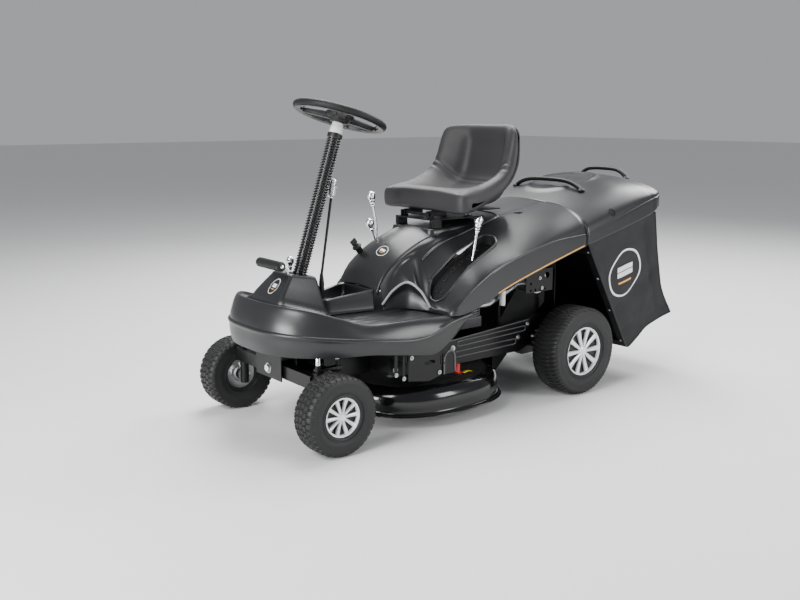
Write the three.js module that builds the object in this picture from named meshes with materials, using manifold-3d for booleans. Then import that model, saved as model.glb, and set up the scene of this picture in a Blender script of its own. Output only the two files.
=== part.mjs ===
// Rear-collecting riding lawn mower. Millimetres, +Z up, -Y is the front, +X is the driver's left.
import * as THREE from "three";
import { mergeVertices } from "three/addons/utils/BufferGeometryUtils.js";
import Module from "manifold-3d";

const wasm = await Module();
wasm.setup();

// ---------- driving dimensions ----------
const NOSE_Y = -674; // front tip of the platform
const BAG_Y = 1109; // rearmost corner of the grass bag
const GAP = 0.4; // clearance between touching pieces
const WALL = 4; // thickness of the plastic mouldings
const AXLE_Y = 542; // front axle at -AXLE_Y, rear axle at +AXLE_Y
const FRONT_TYRE = { radius: 127, width: 100, bead: 62, x: 314.5 };
const REAR_TYRE = { radius: 165, width: 127, bead: 90, x: 308.5 };
const HUB_BORE = 10.5;
const STUB_RADIUS = 9.5;
const KINGPIN_X = 236;
const KINGPIN_Y = -AXLE_Y - 10; // a little ahead of the wheel centre
const ROD_Y = -480; // track rod, behind the front axle
const PIVOT_Z = 216; // pin that the front axle swings about
const PIVOT_LINE = [[0, -600, PIVOT_Z], [0, -520, PIVOT_Z]];
const PIVOT_BORE = 9;
const STEERING_LINE = [[0, -560, 225], [0, -430, 620]]; // the column's line, carried down through the chassis
const HALF_WIDTH = 345; // platform and hood
const FLOOR_Z = 378;
const SEAM_Y = 558; // hood ends here and the collector lid begins
const COLUMN_FOOT = new THREE.Vector3(0, -467, 507);
const COLUMN_HEAD = new THREE.Vector3(0, -315, 968);
const COLUMN_DIR = COLUMN_HEAD.clone().sub(COLUMN_FOOT).normalize();
const WHEEL_RADIUS = 145; // steering wheel, to the middle of the rim
const RAIL_X = 202;
const DECK = { halfWidth: 342, halfLength: 320, y: -30, rim: 46, top: 146 };
const ENGINE_Y = 110;

// ---------- materials ----------
const paint = (color, roughness, metalness) => new THREE.MeshStandardMaterial({ color, roughness, metalness });
const BODY = paint(0x2b2c2e, 0.45, 0);
const PLASTIC = paint(0x1d1e20, 0.6, 0);
const RUBBER = paint(0x161616, 0.9, 0);
const FRAME = paint(0x202124, 0.5, 0.3);
const GLOSS = paint(0x08080a, 0.15, 0.1);
const SILVER = paint(0xb9bcc0, 0.35, 0.8);
const CHROME = paint(0xd8dadd, 0.15, 1);
const STEEL = paint(0x8c8f94, 0.4, 0.9);
const VINYL = paint(0x2c2b2c, 0.55, 0);
const CLOTH = paint(0x17181a, 0.95, 0);
const WHITE = paint(0xdedfdd, 0.5, 0);
const RED = paint(0xc01515, 0.4, 0);

const UP = new THREE.Vector3(0, 0, 1);
const SIDE = new THREE.Vector3(1, 0, 0);
const machine = new THREE.Group();
machine.position.set(0, -(NOSE_Y + BAG_Y) / 2, 0);

// ---------- solids ----------
function solid(geometry) {
  const bare = geometry.index ? geometry.toNonIndexed() : geometry.clone();
  const points = new THREE.BufferGeometry().setAttribute("position", bare.getAttribute("position"));
  const merged = mergeVertices(points, 1e-3);
  const mesh = new wasm.Mesh({
    numProp: 3,
    vertProperties: new Float32Array(merged.attributes.position.array),
    triVerts: new Uint32Array(merged.index.array),
  });
  return new wasm.Manifold(mesh);
}

function geometryOf(body) {
  const mesh = body.getMesh();
  const geometry = new THREE.BufferGeometry();
  geometry.setAttribute("position", new THREE.BufferAttribute(new Float32Array(mesh.vertProperties), 3));
  geometry.setIndex(new THREE.BufferAttribute(new Uint32Array(mesh.triVerts), 1));
  return geometry;
}

const joined = (...bodies) => bodies.reduce((whole, body) => whole.add(body));
const mirrored = (body) => body.mirror([1, 0, 0]);
const bothSides = (body) => body.add(mirrored(body));

function add(name, body, material, placing = {}) {
  const mesh = new THREE.Mesh(geometryOf(body), material);
  mesh.name = name;
  if (placing.at) mesh.position.set(...placing.at);
  if (placing.turn) mesh.rotation.set(...placing.turn);
  (placing.parent ?? machine).add(mesh);
  return mesh;
}

function box(x0, x1, y0, y1, z0, z1) {
  const geometry = new THREE.BoxGeometry(x1 - x0, y1 - y0, z1 - z0);
  return solid(geometry.translate((x0 + x1) / 2, (y0 + y1) / 2, (z0 + z1) / 2));
}

// A cylinder between two points.
function rod(from, to, radius, sides = 12) {
  const a = new THREE.Vector3(...from);
  const b = new THREE.Vector3(...to);
  const along = b.clone().sub(a);
  const turn = new THREE.Quaternion().setFromUnitVectors(new THREE.Vector3(0, 1, 0), along.clone().normalize());
  const geometry = new THREE.CylinderGeometry(radius, radius, along.length(), sides);
  return solid(geometry.applyQuaternion(turn).translate(...a.add(b).multiplyScalar(0.5).toArray()));
}

// A body of revolution about the line from a point along a direction. The profile is [radius, distance] pairs.
function turned(profile, at, direction, sides = 24) {
  const points = profile.map(([radius, along]) => new THREE.Vector2(radius, along));
  const turn = new THREE.Quaternion().setFromUnitVectors(new THREE.Vector3(0, 1, 0), direction);
  return solid(new THREE.LatheGeometry(points, sides).applyQuaternion(turn).translate(...at));
}

// A plate: an outline in the Y-Z plane, extruded along X.
function plateYZ(outline, x0, x1, holes = []) {
  const shape = new THREE.Shape(outline.map(([y, z]) => new THREE.Vector2(y, z)));
  shape.holes = holes;
  const geometry = new THREE.ExtrudeGeometry(shape, { depth: x1 - x0, bevelEnabled: false, curveSegments: 4 });
  geometry.applyMatrix4(new THREE.Matrix4().set(0, 0, 1, x0, 1, 0, 0, 0, 0, 1, 0, 0, 0, 0, 0, 1));
  return solid(geometry);
}

// A round bar along a smooth curve.
function bar(points, radius, steps, sides = 8) {
  const path = new THREE.CatmullRomCurve3(points.map((p) => new THREE.Vector3(...p)));
  const section = new THREE.Shape();
  section.absarc(0, 0, radius, 0, Math.PI * 2);
  return solid(new THREE.ExtrudeGeometry(section, { steps, extrudePath: path, curveSegments: sides / 2 }));
}

// Triangles of a grid of points: rows of equal length.
function gridTriangles(rows, flip = false) {
  const out = [];
  for (let i = 0; i + 1 < rows.length; i++) {
    for (let j = 0; j + 1 < rows[i].length; j++) {
      const [a, b, c, d] = [rows[i][j], rows[i][j + 1], rows[i + 1][j + 1], rows[i + 1][j]];
      out.push(...(flip ? [a, c, b, a, d, c] : [a, b, c, a, c, d]));
    }
  }
  return out;
}

// A surface made of its left half and the mirror image of it.
function bothHalves(left) {
  const right = left.map(([x, y, z]) => [-x, y, z]);
  for (let i = 0; i < right.length; i += 3) [right[i + 1], right[i + 2]] = [right[i + 2], right[i + 1]];
  return [...left, ...right];
}

// A closed body between two four-cornered faces, one above the other.
function between(low, high) {
  const sides = gridTriangles([[...low, low[0]], [...high, high[0]]]);
  const floor = [low[0], low[2], low[1], low[0], low[3], low[2]];
  const roof = [high[0], high[1], high[2], high[0], high[2], high[3]];
  const flat = new Float32Array([...sides, ...floor, ...roof].flat());
  return solid(new THREE.BufferGeometry().setAttribute("position", new THREE.BufferAttribute(flat, 3)));
}

// Gives an open surface a thickness on its inner side and closes its rim.
function thickened(triangles, thickness) {
  const flat = new Float32Array(triangles.flat());
  const open = new THREE.BufferGeometry().setAttribute("position", new THREE.BufferAttribute(flat, 3));
  const skin = mergeVertices(open, 1e-2);
  skin.computeVertexNormals();
  const at = skin.attributes.position;
  const normal = skin.attributes.normal;
  const count = at.count;
  const points = [];
  for (const depth of [0, thickness]) {
    for (let i = 0; i < count; i++) {
      points.push(at.getX(i) - normal.getX(i) * depth);
      points.push(at.getY(i) - normal.getY(i) * depth);
      points.push(at.getZ(i) - normal.getZ(i) * depth);
    }
  }
  const faces = [];
  const edges = new Set();
  const index = skin.index.array;
  for (let t = 0; t < index.length; t += 3) {
    const [a, b, c] = [index[t], index[t + 1], index[t + 2]];
    if (a === b || b === c || c === a) continue;
    faces.push(a, b, c, a + count, c + count, b + count);
    edges.add(a + "_" + b).add(b + "_" + c).add(c + "_" + a);
  }
  for (const edge of edges) {
    const [a, b] = edge.split("_").map(Number);
    if (!edges.has(b + "_" + a)) faces.push(b, a, a + count, b, a + count, b + count);
  }
  const mesh = new wasm.Mesh({
    numProp: 3,
    vertProperties: new Float32Array(points),
    triVerts: new Uint32Array(faces),
  });
  return new wasm.Manifold(mesh);
}

const lerp = (a, b, t) => a + (b - a) * t;

// Straight-line interpolation in a list of [position, value] pairs.
function along(table, position) {
  let i = 1;
  while (i < table.length - 1 && table[i][0] < position) i++;
  const [[p0, v0], [p1, v1]] = [table[i - 1], table[i]];
  return lerp(v0, v1, Math.min(1, Math.max(0, (position - p0) / (p1 - p0))));
}

// ---------- front platform ----------
const NOSE_START = -38; // behind this the sides are straight
const NOSE_POWER = 2.78; // squareness of the nose in plan
const PLATFORM_REAR = -2;
const SKIRT_BOTTOM = [[NOSE_Y, 292], [-400, 290], [-250, 270], [-157, 257], [-53, 321], [PLATFORM_REAR, 364]];
const CREASE = [[NOSE_Y, 367], [-254, 321], [-183, 327], [-124, 352], [-102, 362], [PLATFORM_REAR, 368]];
const SHOULDER = [[NOSE_Y, 450], [-590, 438], [-540, 421], [-487, 403], [-440, 386], [-405, 380], [0, 379]];
const FLOOR = [[-590, 440], [-540, 422], [-500, 398], [-450, 381], [-430, FLOOR_Z], [0, FLOOR_Z]];

function platformStation(angle) {
  const s = Math.sin(angle);
  const c = Math.cos(angle);
  return [HALF_WIDTH * c ** (2 / NOSE_POWER), NOSE_START + (NOSE_Y - NOSE_START) * s ** (2 / NOSE_POWER)];
}

// Points up the side of the platform and in to its middle, at one place round its edge.
function platformColumn([x, y], spineY) {
  const bottom = along(SKIRT_BOTTOM, y);
  const crease = along(CREASE, y);
  const shoulder = along(SHOULDER, y);
  const length = Math.hypot(x, (y - NOSE_START) * 0.6) || 1;
  const inward = (inset, z) => [x - (inset * x) / length, y - (inset * (y - NOSE_START) * 0.6) / length, z];
  const edge = inward(56, 0);
  return [
    inward(12, bottom),
    inward(0, lerp(bottom, crease, 0.6)),
    inward(2, crease),
    inward(8, lerp(crease, shoulder, 0.6)),
    inward(26, shoulder),
    [edge[0], edge[1], along(FLOOR, edge[1])],
    [0, spineY, along(FLOOR, spineY)],
  ];
}

function platform() {
  const STATIONS = 14;
  const places = [[HALF_WIDTH, PLATFORM_REAR]];
  for (let i = 0; i <= STATIONS; i++) places.push(platformStation(((i / STATIONS) * Math.PI) / 2));
  const rows = places.map((place) => platformColumn(place, Math.max(place[1], NOSE_Y + 60 + 0.001 * place[0])));
  return thickened(bothHalves(gridTriangles(rows)), WALL);
}
add("front_platform", platform().subtract(rod(...STEERING_LINE, 16)), BODY);

// A tapered box: rectangles [x half-width, y0, y1, z] at the bottom and at the top.
function tapered(bottom, top) {
  const corners = ([x, y0, y1, z0, z1]) => [[-x, y0, z0], [x, y0, z0], [x, y1, z1], [-x, y1, z1]];
  return between(corners(bottom), corners(top));
}

// ---------- steering pedestal: stands on the nose, open below and behind ----------
const pedestalOuter = tapered([84, -590, -412, 443, 383], [57, -532, -432, 520, 508]);
const pedestalInner = tapered([79, -584, -418, 400, 340], [52, -528, -437, 515, 503]);
const columnHole = rod(...STEERING_LINE, 27, 16);
const pedalSlot = box(32, 44, -560, -505, 470, 560);
const brakeSlot = box(-52, -38, -485, -455, 470, 560);
const overNose = tapered([200, -600, -400, 300, 300], [200, -600, -400, 447, 384]);
const pedestal = pedestalOuter.subtract(pedestalInner).subtract(columnHole).subtract(overNose);
add("steering_pedestal", pedestal.subtract(pedalSlot).subtract(brakeSlot), BODY);

// ---------- centre tunnel between the feet, an open tray ----------
const TRAY_FLOOR = 402;
const trayHollow = tapered([50, -402, -234, TRAY_FLOOR, TRAY_FLOOR], [52, -400, -232, 470, 470]);
const underTray = tapered([54, -402, -222, 370, 370], [50, -402, -222, 396, 396]);
const leverSlot = box(-9, 9, -398, -340, 370, 420);
const leverCheeks = bothSides(box(9, 14, -392, -368, FLOOR_Z + 2, TRAY_FLOOR - 2));
// Wider at the rear than at the front; its rim rises towards the hood.
const TUNNEL = {
  front: -409, rear: -226, frontHalf: 62, rearHalf: 96, foot: FLOOR_Z + 2, frontRim: 424, rearRim: 447,
};
const flare = (frontZ, rearZ) => [
  [-TUNNEL.frontHalf, TUNNEL.front, frontZ], [TUNNEL.frontHalf, TUNNEL.front, frontZ],
  [TUNNEL.rearHalf, TUNNEL.rear, rearZ], [-TUNNEL.rearHalf, TUNNEL.rear, rearZ],
];
const tunnelBody = between(flare(TUNNEL.foot, TUNNEL.foot), flare(TUNNEL.frontRim, TUNNEL.rearRim));
const tray = tunnelBody.subtract(trayHollow).subtract(underTray).add(leverCheeks);
add("centre_tunnel", tray.subtract(leverSlot), BODY);

// ---------- hood ----------
// Each row runs from the console groove or the middle outwards to the edge: start y and z, end x, y and z,
// the end of the wall below it, and the two powers of the falling curve between.
const GROOVE_X = 116;
const HOOD_ROWS = [
  { y: -220, z: 462, ex: 119, ey: -214, ez: 400, wall: 381, p: 1, q: 1 },
  { y: -190, z: 508, ex: 132, ey: -178, ez: 446, wall: 381, p: 1, q: 1 },
  { y: -150, z: 542, ex: 160, ey: -140, ez: 474, wall: 381, p: 1, q: 1.1 },
  { y: -110, z: 567, ex: 205, ey: -117, ez: 448, wall: 381, p: 1, q: 1.5 },
  { y: -75, z: 585, ex: 240, ey: -104, ez: 392, wall: 381, p: 1, q: 2 },
  { y: -45, z: 600, ex: 290, ey: -97, ez: 388, wall: 381, p: 1, q: 2.1 },
  { y: -20, z: 609, ex: 338, ey: -88, ez: 392, wall: 381, p: 1, q: 2.1 },
  { y: 12, z: 618, ex: 341, ey: -35, ez: 434, wall: 382, p: 1, q: 1.9 },
  { y: 55, z: 628, ex: 341, ey: 25, ez: 476, wall: 396, p: 1, q: 1.7 },
  { y: 120, z: 634, ex: 341, ey: 110, ez: 520, wall: 426, p: 1, q: 1.4 },
  { y: 220, z: 650, ex: 341, ey: 220, ez: 556, wall: 461, p: 1.2, q: 1 },
  { y: 390, z: 678, ex: 340, ey: 390, ez: 590, wall: 511, p: 1.7, q: 0.65 },
  { y: SEAM_Y - 2, z: 705, ex: 338, ey: SEAM_Y - 2, ez: 602, wall: 556, p: 2.1, q: 0.48 },
];
const HOOD_FULL = 7; // rows from here on reach the middle
const FLANK = [0, 0.2, 0.4, 0.6, 0.8, 0.93, 1];

function fanRow(row, startX) {
  const points = FLANK.map((u) => {
    const fall = (1 - u ** row.p) ** row.q;
    return [lerp(startX, row.ex, u), lerp(row.y, row.ey, u), lerp(row.ez, row.z, fall)];
  });
  return [...points, [row.ex + 4, row.ey, row.wall]];
}

function hoodSurface() {
  const left = HOOD_ROWS.map((row) => fanRow(row, GROOVE_X));
  const flank = gridTriangles(left);
  const crown = (row) => [[0, row.y, row.z + 6], [GROOVE_X / 2, row.y, row.z + 4], [GROOVE_X, row.y, row.z]];
  const top = gridTriangles(HOOD_ROWS.slice(HOOD_FULL).map(crown));
  return bothHalves([...flank, ...top]);
}
const leverOpening = box(205, 223, -52, 172, 400, 640);
const throttleOpening = box(-124, -70, -128, -50, 540, 640);
add("hood", thickened(hoodSurface(), WALL).subtract(leverOpening).subtract(throttleOpening), BODY);

// ---------- console panel ----------
const CONSOLE_X = 111;
const CONSOLE_PROFILE = [[-231, 450], [-203, 495], [-168, 530], [-123, 562], [-62, 593], [-20, 609], [6, 616]];
function consoleRow([y, z], i) {
  const crown = i === 0 ? 3 : 15;
  const across = [1, 0.75, 0.4, 0, -0.4, -0.75, -1].map((u) => [u * CONSOLE_X, y, z + crown * (1 - u * u)]);
  return [[CONSOLE_X, y + 4, z - 12], ...across, [-CONSOLE_X, y + 4, z - 12]];
}
const consoleSkin = thickened(gridTriangles(CONSOLE_PROFILE.map(consoleRow), true), WALL);
const KEY_AXIS = new THREE.Vector3(0, -0.62, 0.785);
const keyHole = rod([-80, -120, 500], [-80, -218, 624], 13, 12);
add("console_panel", consoleSkin.subtract(throttleOpening).subtract(keyHole), BODY);

// ---------- ignition switch ----------
const KEY_AT = [-80, -160, 552];
const BARREL = { radius: 12, length: 30 };
const barrelProfile = [[0, 0], [BARREL.radius, 0], [BARREL.radius, BARREL.length], [0, BARREL.length], [0, 0]];
add("ignition_barrel", turned(barrelProfile, KEY_AT, KEY_AXIS, 16), PLASTIC);
const keyFoot = new THREE.Vector3(...KEY_AT).addScaledVector(KEY_AXIS, BARREL.length + GAP).toArray();
const keyBow = box(-4, 4, -12, 12, 6, 26).add(box(-3, 3, -5, 5, 0, 7));
const keyTilt = Math.atan2(-KEY_AXIS.y, KEY_AXIS.z);
add("ignition_key", keyBow, PLASTIC, { at: keyFoot, turn: [keyTilt, 0, 0] });

// ---------- seat and its bracket ----------
const SEAT_SECTION = [
  [46, 722], [47, 756], [60, 770], [94, 775], [200, 764], [300, 776], [330, 802], [352, 880], [366, 970],
  [378, 993], [402, 992], [412, 975], [404, 880], [392, 800], [360, 735], [320, 712], [200, 700], [60, 700],
];
const SEAT = { width: 468, middleZ: 726, taperStart: 200, taperEnd: 360, backFoot: 790, backTop: 993 };
const SEAT_NARROW = { cushion: 0.93, top: 0.78 }; // the width there, as a share of the full width
const SEAT_EDGE = { from: 200, flatten: 0.95 }; // beyond this from the middle the cushion is a little thinner
const SEAT_BASE_Z = 664;
function seat() {
  const shape = new THREE.Shape(SEAT_SECTION.map(([y, z]) => new THREE.Vector2(y, z)));
  const geometry = new THREE.ExtrudeGeometry(shape, { depth: SEAT.width, steps: 6, bevelEnabled: false });
  const at = geometry.attributes.position;
  for (let i = 0; i < at.count; i++) {
    const [y, z, x] = [at.getX(i), at.getY(i), at.getZ(i) - SEAT.width / 2];
    const onBack = z > SEAT.backFoot;
    const upBack = (z - SEAT.backFoot) / (SEAT.backTop - SEAT.backFoot);
    const alongCushion = Math.max(0, (y - SEAT.taperStart) / (SEAT.taperEnd - SEAT.taperStart));
    const [narrowFrom, narrowTo, share] = onBack
      ? [SEAT_NARROW.cushion, SEAT_NARROW.top, upBack]
      : [1, SEAT_NARROW.cushion, alongCushion];
    const taper = lerp(narrowFrom, narrowTo, share);
    const thin = Math.abs(x) > SEAT_EDGE.from && z < SEAT.backFoot ? SEAT_EDGE.flatten : 1;
    at.setXYZ(i, x * taper, y, lerp(SEAT.middleZ, z, thin));
  }
  return solid(geometry);
}
add("seat", seat(), VINYL);
const seatFeet = joined(
  box(-105, 105, 18, 260, SEAT_BASE_Z, SEAT_BASE_Z + 5),
  bothSides(box(88, 105, 18, 60, 638, SEAT_BASE_Z + 1)),
  bothSides(box(88, 105, 200, 240, 658, SEAT_BASE_Z + 1)),
  bothSides(box(70, 76, 18, 50, SEAT_BASE_Z + 4, 692)),
);
const SEAT_HINGE = { y: 34, z: 683 };
const hingeBore = rod([-110, SEAT_HINGE.y, SEAT_HINGE.z], [110, SEAT_HINGE.y, SEAT_HINGE.z], 5.5, 12);
add("seat_bracket", seatFeet.subtract(hingeBore), FRAME);
const seatPan = joined(
  box(-150, 150, 60, 300, 694, 698),
  bothSides(box(60, 66, 24, 110, 676, 695)),
);
const seatHinge = rod([-82, SEAT_HINGE.y, SEAT_HINGE.z], [82, SEAT_HINGE.y, SEAT_HINGE.z], 5, 12);
add("seat_pan", seatPan.add(seatHinge), FRAME);
const spring = (x) => turned([[0, 0], [14, 0], [17, 3], [14, 6], [17, 11], [14, 16], [14, 22], [0, 22], [0, 0]],
  [x, 215, SEAT_BASE_Z + 5 + GAP], UP, 16);
const springStrip = box(-72, 72, 210, 220, SEAT_BASE_Z + 5 + GAP, SEAT_BASE_Z + 7.5);
add("seat_springs", joined(spring(70), spring(-70), springStrip), STEEL);

// ---------- steering column ----------
const columnPoint = (distance) => COLUMN_FOOT.clone().addScaledVector(COLUMN_DIR, distance).toArray();
const COLUMN_LENGTH = COLUMN_HEAD.distanceTo(COLUMN_FOOT);
const bellowsProfile = [[12, -6], [25, -6], [25, COLUMN_LENGTH], [12, COLUMN_LENGTH], [12, -6]];
add("column_bellows", turned(bellowsProfile, columnPoint(0), COLUMN_DIR, 20), RUBBER);
const collarProfile = [[12, 0], [21, 0], [21, 36], [12, 36], [12, 0]];
add("column_collar", turned(collarProfile, columnPoint(COLUMN_LENGTH + GAP), COLUMN_DIR, 20), WHITE);
const SHAFT = { bottom: -205, radius: 9.5, pinion: 22, top: COLUMN_LENGTH + 52 };
const shaftProfile = [[0, SHAFT.bottom], [SHAFT.pinion, SHAFT.bottom],
  [SHAFT.pinion, SHAFT.bottom + SHAFT.pinion], [SHAFT.radius, SHAFT.bottom + SHAFT.pinion],
  [SHAFT.radius, SHAFT.top], [0, SHAFT.top], [0, SHAFT.bottom]];
add("steering_shaft", turned(shaftProfile, columnPoint(0), COLUMN_DIR, 14), STEEL);

const WHEEL_HUB = COLUMN_LENGTH + 40;
function steeringWheel() {
  const rim = solid(new THREE.TorusGeometry(WHEEL_RADIUS, 14.5, 8, 30));
  const hub = turned([[10.2, -3], [30, -3], [36, 10], [36, 26], [0, 30], [0, 13], [10.2, 13], [10.2, -3]],
    [0, 0, 0], UP, 20);
  const spokes = [90, 210, 330].map((degrees) => {
    const turn = THREE.MathUtils.degToRad(degrees);
    const blade = tapered([16, 26, WHEEL_RADIUS - 6, 4, 10], [16, 26, WHEEL_RADIUS - 6, 18, 22]);
    return blade.rotate([0, 0, THREE.MathUtils.radToDeg(turn) - 90]);
  });
  return joined(hub, rim.translate([0, 0, 20]), ...spokes);
}
const columnTilt = -Math.atan2(COLUMN_DIR.y, COLUMN_DIR.z);
const wheelGroup = new THREE.Group();
wheelGroup.position.set(...columnPoint(WHEEL_HUB));
wheelGroup.rotation.x = columnTilt;
machine.add(wheelGroup);
add("steering_wheel", steeringWheel(), RUBBER, { parent: wheelGroup });

// ---------- chassis ----------
const railOutline = [
  [-250, 262], [-250, 178], [-225, 165], [365, 165], [430, 190], [440, 232], [600, 232], [600, 292], [430, 292],
  [405, 279], [-24, 252],
];
const rail = plateYZ(railOutline, RAIL_X, RAIL_X + 3).add(box(RAIL_X - 22, RAIL_X + 1, -245, 360, 165, 168));
add("left_chassis_rail", rail, FRAME);
add("right_chassis_rail", mirrored(rail), FRAME);

const subframe = joined(
  box(-98, 98, -598, -238, 340, 344),
  bothSides(box(95, 98, -598, -238, 262, 341)),
  box(-RAIL_X + GAP, RAIL_X - GAP, -246, -242, 180, 344),
);
const carrier = joined(
  subframe,
  box(-80, 80, -592, -588, 185, 339),
  box(-80, 80, -536, -532, 185, 339),
  box(-80, 80, -592, -532, 336, 341),
);
const pivotBore = rod(...PIVOT_LINE, PIVOT_BORE, 14);
add("front_subframe", carrier.subtract(pivotBore).subtract(rod(...STEERING_LINE, 26)), FRAME);
const boltShape = joined(
  rod([0, -600, PIVOT_Z], [0, -592.4, PIVOT_Z], 13, 6),
  rod([0, -594, PIVOT_Z], [0, -524, PIVOT_Z], 8, 14),
  rod([0, -531.6, PIVOT_Z], [0, -523, PIVOT_Z], 13, 6),
);
add("axle_pivot_bolt", boltShape, CHROME);

const chuteWindow = box(-150, 150, 500, 600, 290, 520);
add("rear_plate", box(-RAIL_X + GAP, RAIL_X - GAP, 546, 550, 250, 548).subtract(chuteWindow), FRAME);

// ---------- front axle, kingpins and wheels ----------
const FRONT_STUB_Z = FRONT_TYRE.radius;
const REAR_STUB_Z = REAR_TYRE.radius;
const KINGPIN_RADIUS = 9;
const BEAM = { front: -582, rear: -542, low: 194, high: 238, wall: 4, solidEnd: 30 };
const beamHollow = box(
  -KINGPIN_X + BEAM.solidEnd, KINGPIN_X - BEAM.solidEnd, BEAM.front + BEAM.wall, BEAM.rear - BEAM.wall,
  BEAM.low - BEAM.wall, BEAM.high - BEAM.wall,
);
const beamTube = box(-KINGPIN_X, KINGPIN_X, BEAM.front, BEAM.rear, BEAM.low, BEAM.high).subtract(beamHollow);
const kingpinLine = (low, high) => [[KINGPIN_X, KINGPIN_Y, low], [KINGPIN_X, KINGPIN_Y, high]];
const kingpinBush = rod(...kingpinLine(186, 246), 18, 16);
const kingpinBore = rod(...kingpinLine(180, 260), KINGPIN_RADIUS + 2 * GAP, 16);
const beam = joined(beamTube, bothSides(kingpinBush)).subtract(bothSides(kingpinBore)).subtract(pivotBore);
add("front_axle_beam", beam, FRAME);

function spindle() {
  return joined(
    rod(...kingpinLine(120, 268), KINGPIN_RADIUS, 14),
    rod(...kingpinLine(108, 184), 15, 14),
    box(KINGPIN_X - 8, KINGPIN_X + 8, KINGPIN_Y, -AXLE_Y, 116, 138),
    rod([KINGPIN_X, -AXLE_Y, FRONT_STUB_Z], [352, -AXLE_Y, FRONT_STUB_Z], STUB_RADIUS, 14),
    box(KINGPIN_X - 11, KINGPIN_X + 11, KINGPIN_Y - 10, ROD_Y + 10, 248, 256),
    rod([KINGPIN_X, ROD_Y, 215], [KINGPIN_X, ROD_Y, 278], 6, 10),
  );
}
add("left_spindle", spindle(), CHROME);
add("right_spindle", mirrored(spindle()), CHROME);
const ROD_Z = 233;
const eye = rod([KINGPIN_X, ROD_Y, ROD_Z - 7], [KINGPIN_X, ROD_Y, ROD_Z + 7], 12, 14);
const eyeBore = rod([KINGPIN_X, ROD_Y, ROD_Z - 13], [KINGPIN_X, ROD_Y, ROD_Z + 13], 7.2, 14);
const tieBar = rod([-KINGPIN_X + 8, ROD_Y, ROD_Z], [KINGPIN_X - 8, ROD_Y, ROD_Z], 6, 10);
add("tie_rod", joined(tieBar, bothSides(eye)).subtract(bothSides(eyeBore)), STEEL);

const TYRE_SIDES = 28;
// The flat between two corners of the tread touches the ground, so the corners stand slightly proud.
const flatScale = 1 / Math.cos(Math.PI / TYRE_SIDES);
function tyre({ radius, width, bead }) {
  const r = radius * flatScale;
  const w = width / 2;
  const half = [[r, w * 0.45], [r - 8, w * 0.9], [r - 30, w], [bead, w * 0.8]];
  const otherHalf = half.map(([radial, side]) => [radial, -side]).reverse();
  const profile = [...otherHalf, ...half, otherHalf[0]];
  return turned(profile, [0, 0, 0], SIDE, TYRE_SIDES);
}
function rim({ width, bead }, face) {
  const r = bead - GAP;
  const w = width * 0.39;
  const plate = face - 14;
  const profile = [
    [r, -w], [r, w], [r - 8, face], [r - 14, plate + 4], [30, plate + 4], [24, face - 2], [HUB_BORE, face - 2],
    [HUB_BORE, -w + 4], [22, -w + 4], [22, plate - 4], [r - 8, plate - 6], [r - 8, -w], [r, -w],
  ];
  return turned(profile, [0, 0, 0], SIDE, TYRE_SIDES);
}
const AXLE_ENDS = {
  front: { tyre: FRONT_TYRE, y: -AXLE_Y, face: 40 },
  rear: { tyre: REAR_TYRE, y: AXLE_Y, face: 53 },
};
for (const [end, { tyre: size, y, face }] of Object.entries(AXLE_ENDS)) {
  for (const [side, sign] of [["left", 1], ["right", -1]]) {
    const facing = (body) => (sign > 0 ? body : mirrored(body)).rotate([180 / TYRE_SIDES, 0, 0]);
    const at = [sign * size.x, y, size.radius];
    add(`${end}_${side}_tyre`, facing(tyre(size)), RUBBER, { at });
    add(`${end}_${side}_rim`, facing(rim(size, face)), SILVER, { at });
  }
}

// ---------- transaxle ----------
const transaxle = joined(
  box(-105, 105, 478, 606, 112, 205),
  box(-70, 70, 500, 590, 200, 226),
  bothSides(rod([100, AXLE_Y, REAR_STUB_Z], [126, AXLE_Y, REAR_STUB_Z], 30, 16)),
  bothSides(rod([120, AXLE_Y, REAR_STUB_Z], [350, AXLE_Y, REAR_STUB_Z], STUB_RADIUS, 14)),
  rod([0, 520, 220], [0, 520, 244], 12, 12),
);
add("transaxle", transaxle, STEEL);

// ---------- engine ----------
const engineBlock = joined(
  box(-125, 125, ENGINE_Y - 120, ENGINE_Y + 130, 262, 300),
  box(-95, 140, ENGINE_Y - 95, ENGINE_Y + 95, 299, 400),
  turned([[0, 0], [118, 0], [118, 70], [96, 100], [0, 104], [0, 0]], [0, ENGINE_Y, 398], UP, 24),
  box(120, 175, ENGINE_Y - 40, ENGINE_Y + 60, 310, 380),
);
const engineBore = rod([0, ENGINE_Y, 200], [0, ENGINE_Y, 330], 13.5, 14);
add("engine", engineBlock.subtract(engineBore), STEEL);
const drivePulley = turned(
  [[0, 0], [48, 0], [38, 7], [48, 14], [12.5, 14], [12.5, 110], [0, 110], [0, 0]],
  [0, ENGINE_Y, 204], UP, 24,
);
add("engine_pulley", drivePulley, STEEL);
const MUFFLER = { y: 425, z: 425, x0: 150, x1: 228, radius: 46 };
const PIPE = { x: 156, radius: 12, bendY: 240, z: 350, endY: ENGINE_Y + 64 };
const muffler = joined(
  rod([MUFFLER.x0, MUFFLER.y, MUFFLER.z], [MUFFLER.x1, MUFFLER.y, MUFFLER.z], MUFFLER.radius, 20),
  rod([PIPE.x, MUFFLER.y, MUFFLER.z], [PIPE.x, PIPE.bendY, PIPE.z], PIPE.radius, 10),
  rod([PIPE.x, PIPE.bendY, PIPE.z], [PIPE.x, PIPE.endY, PIPE.z], PIPE.radius, 10),
);
add("muffler", muffler, STEEL);
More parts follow.
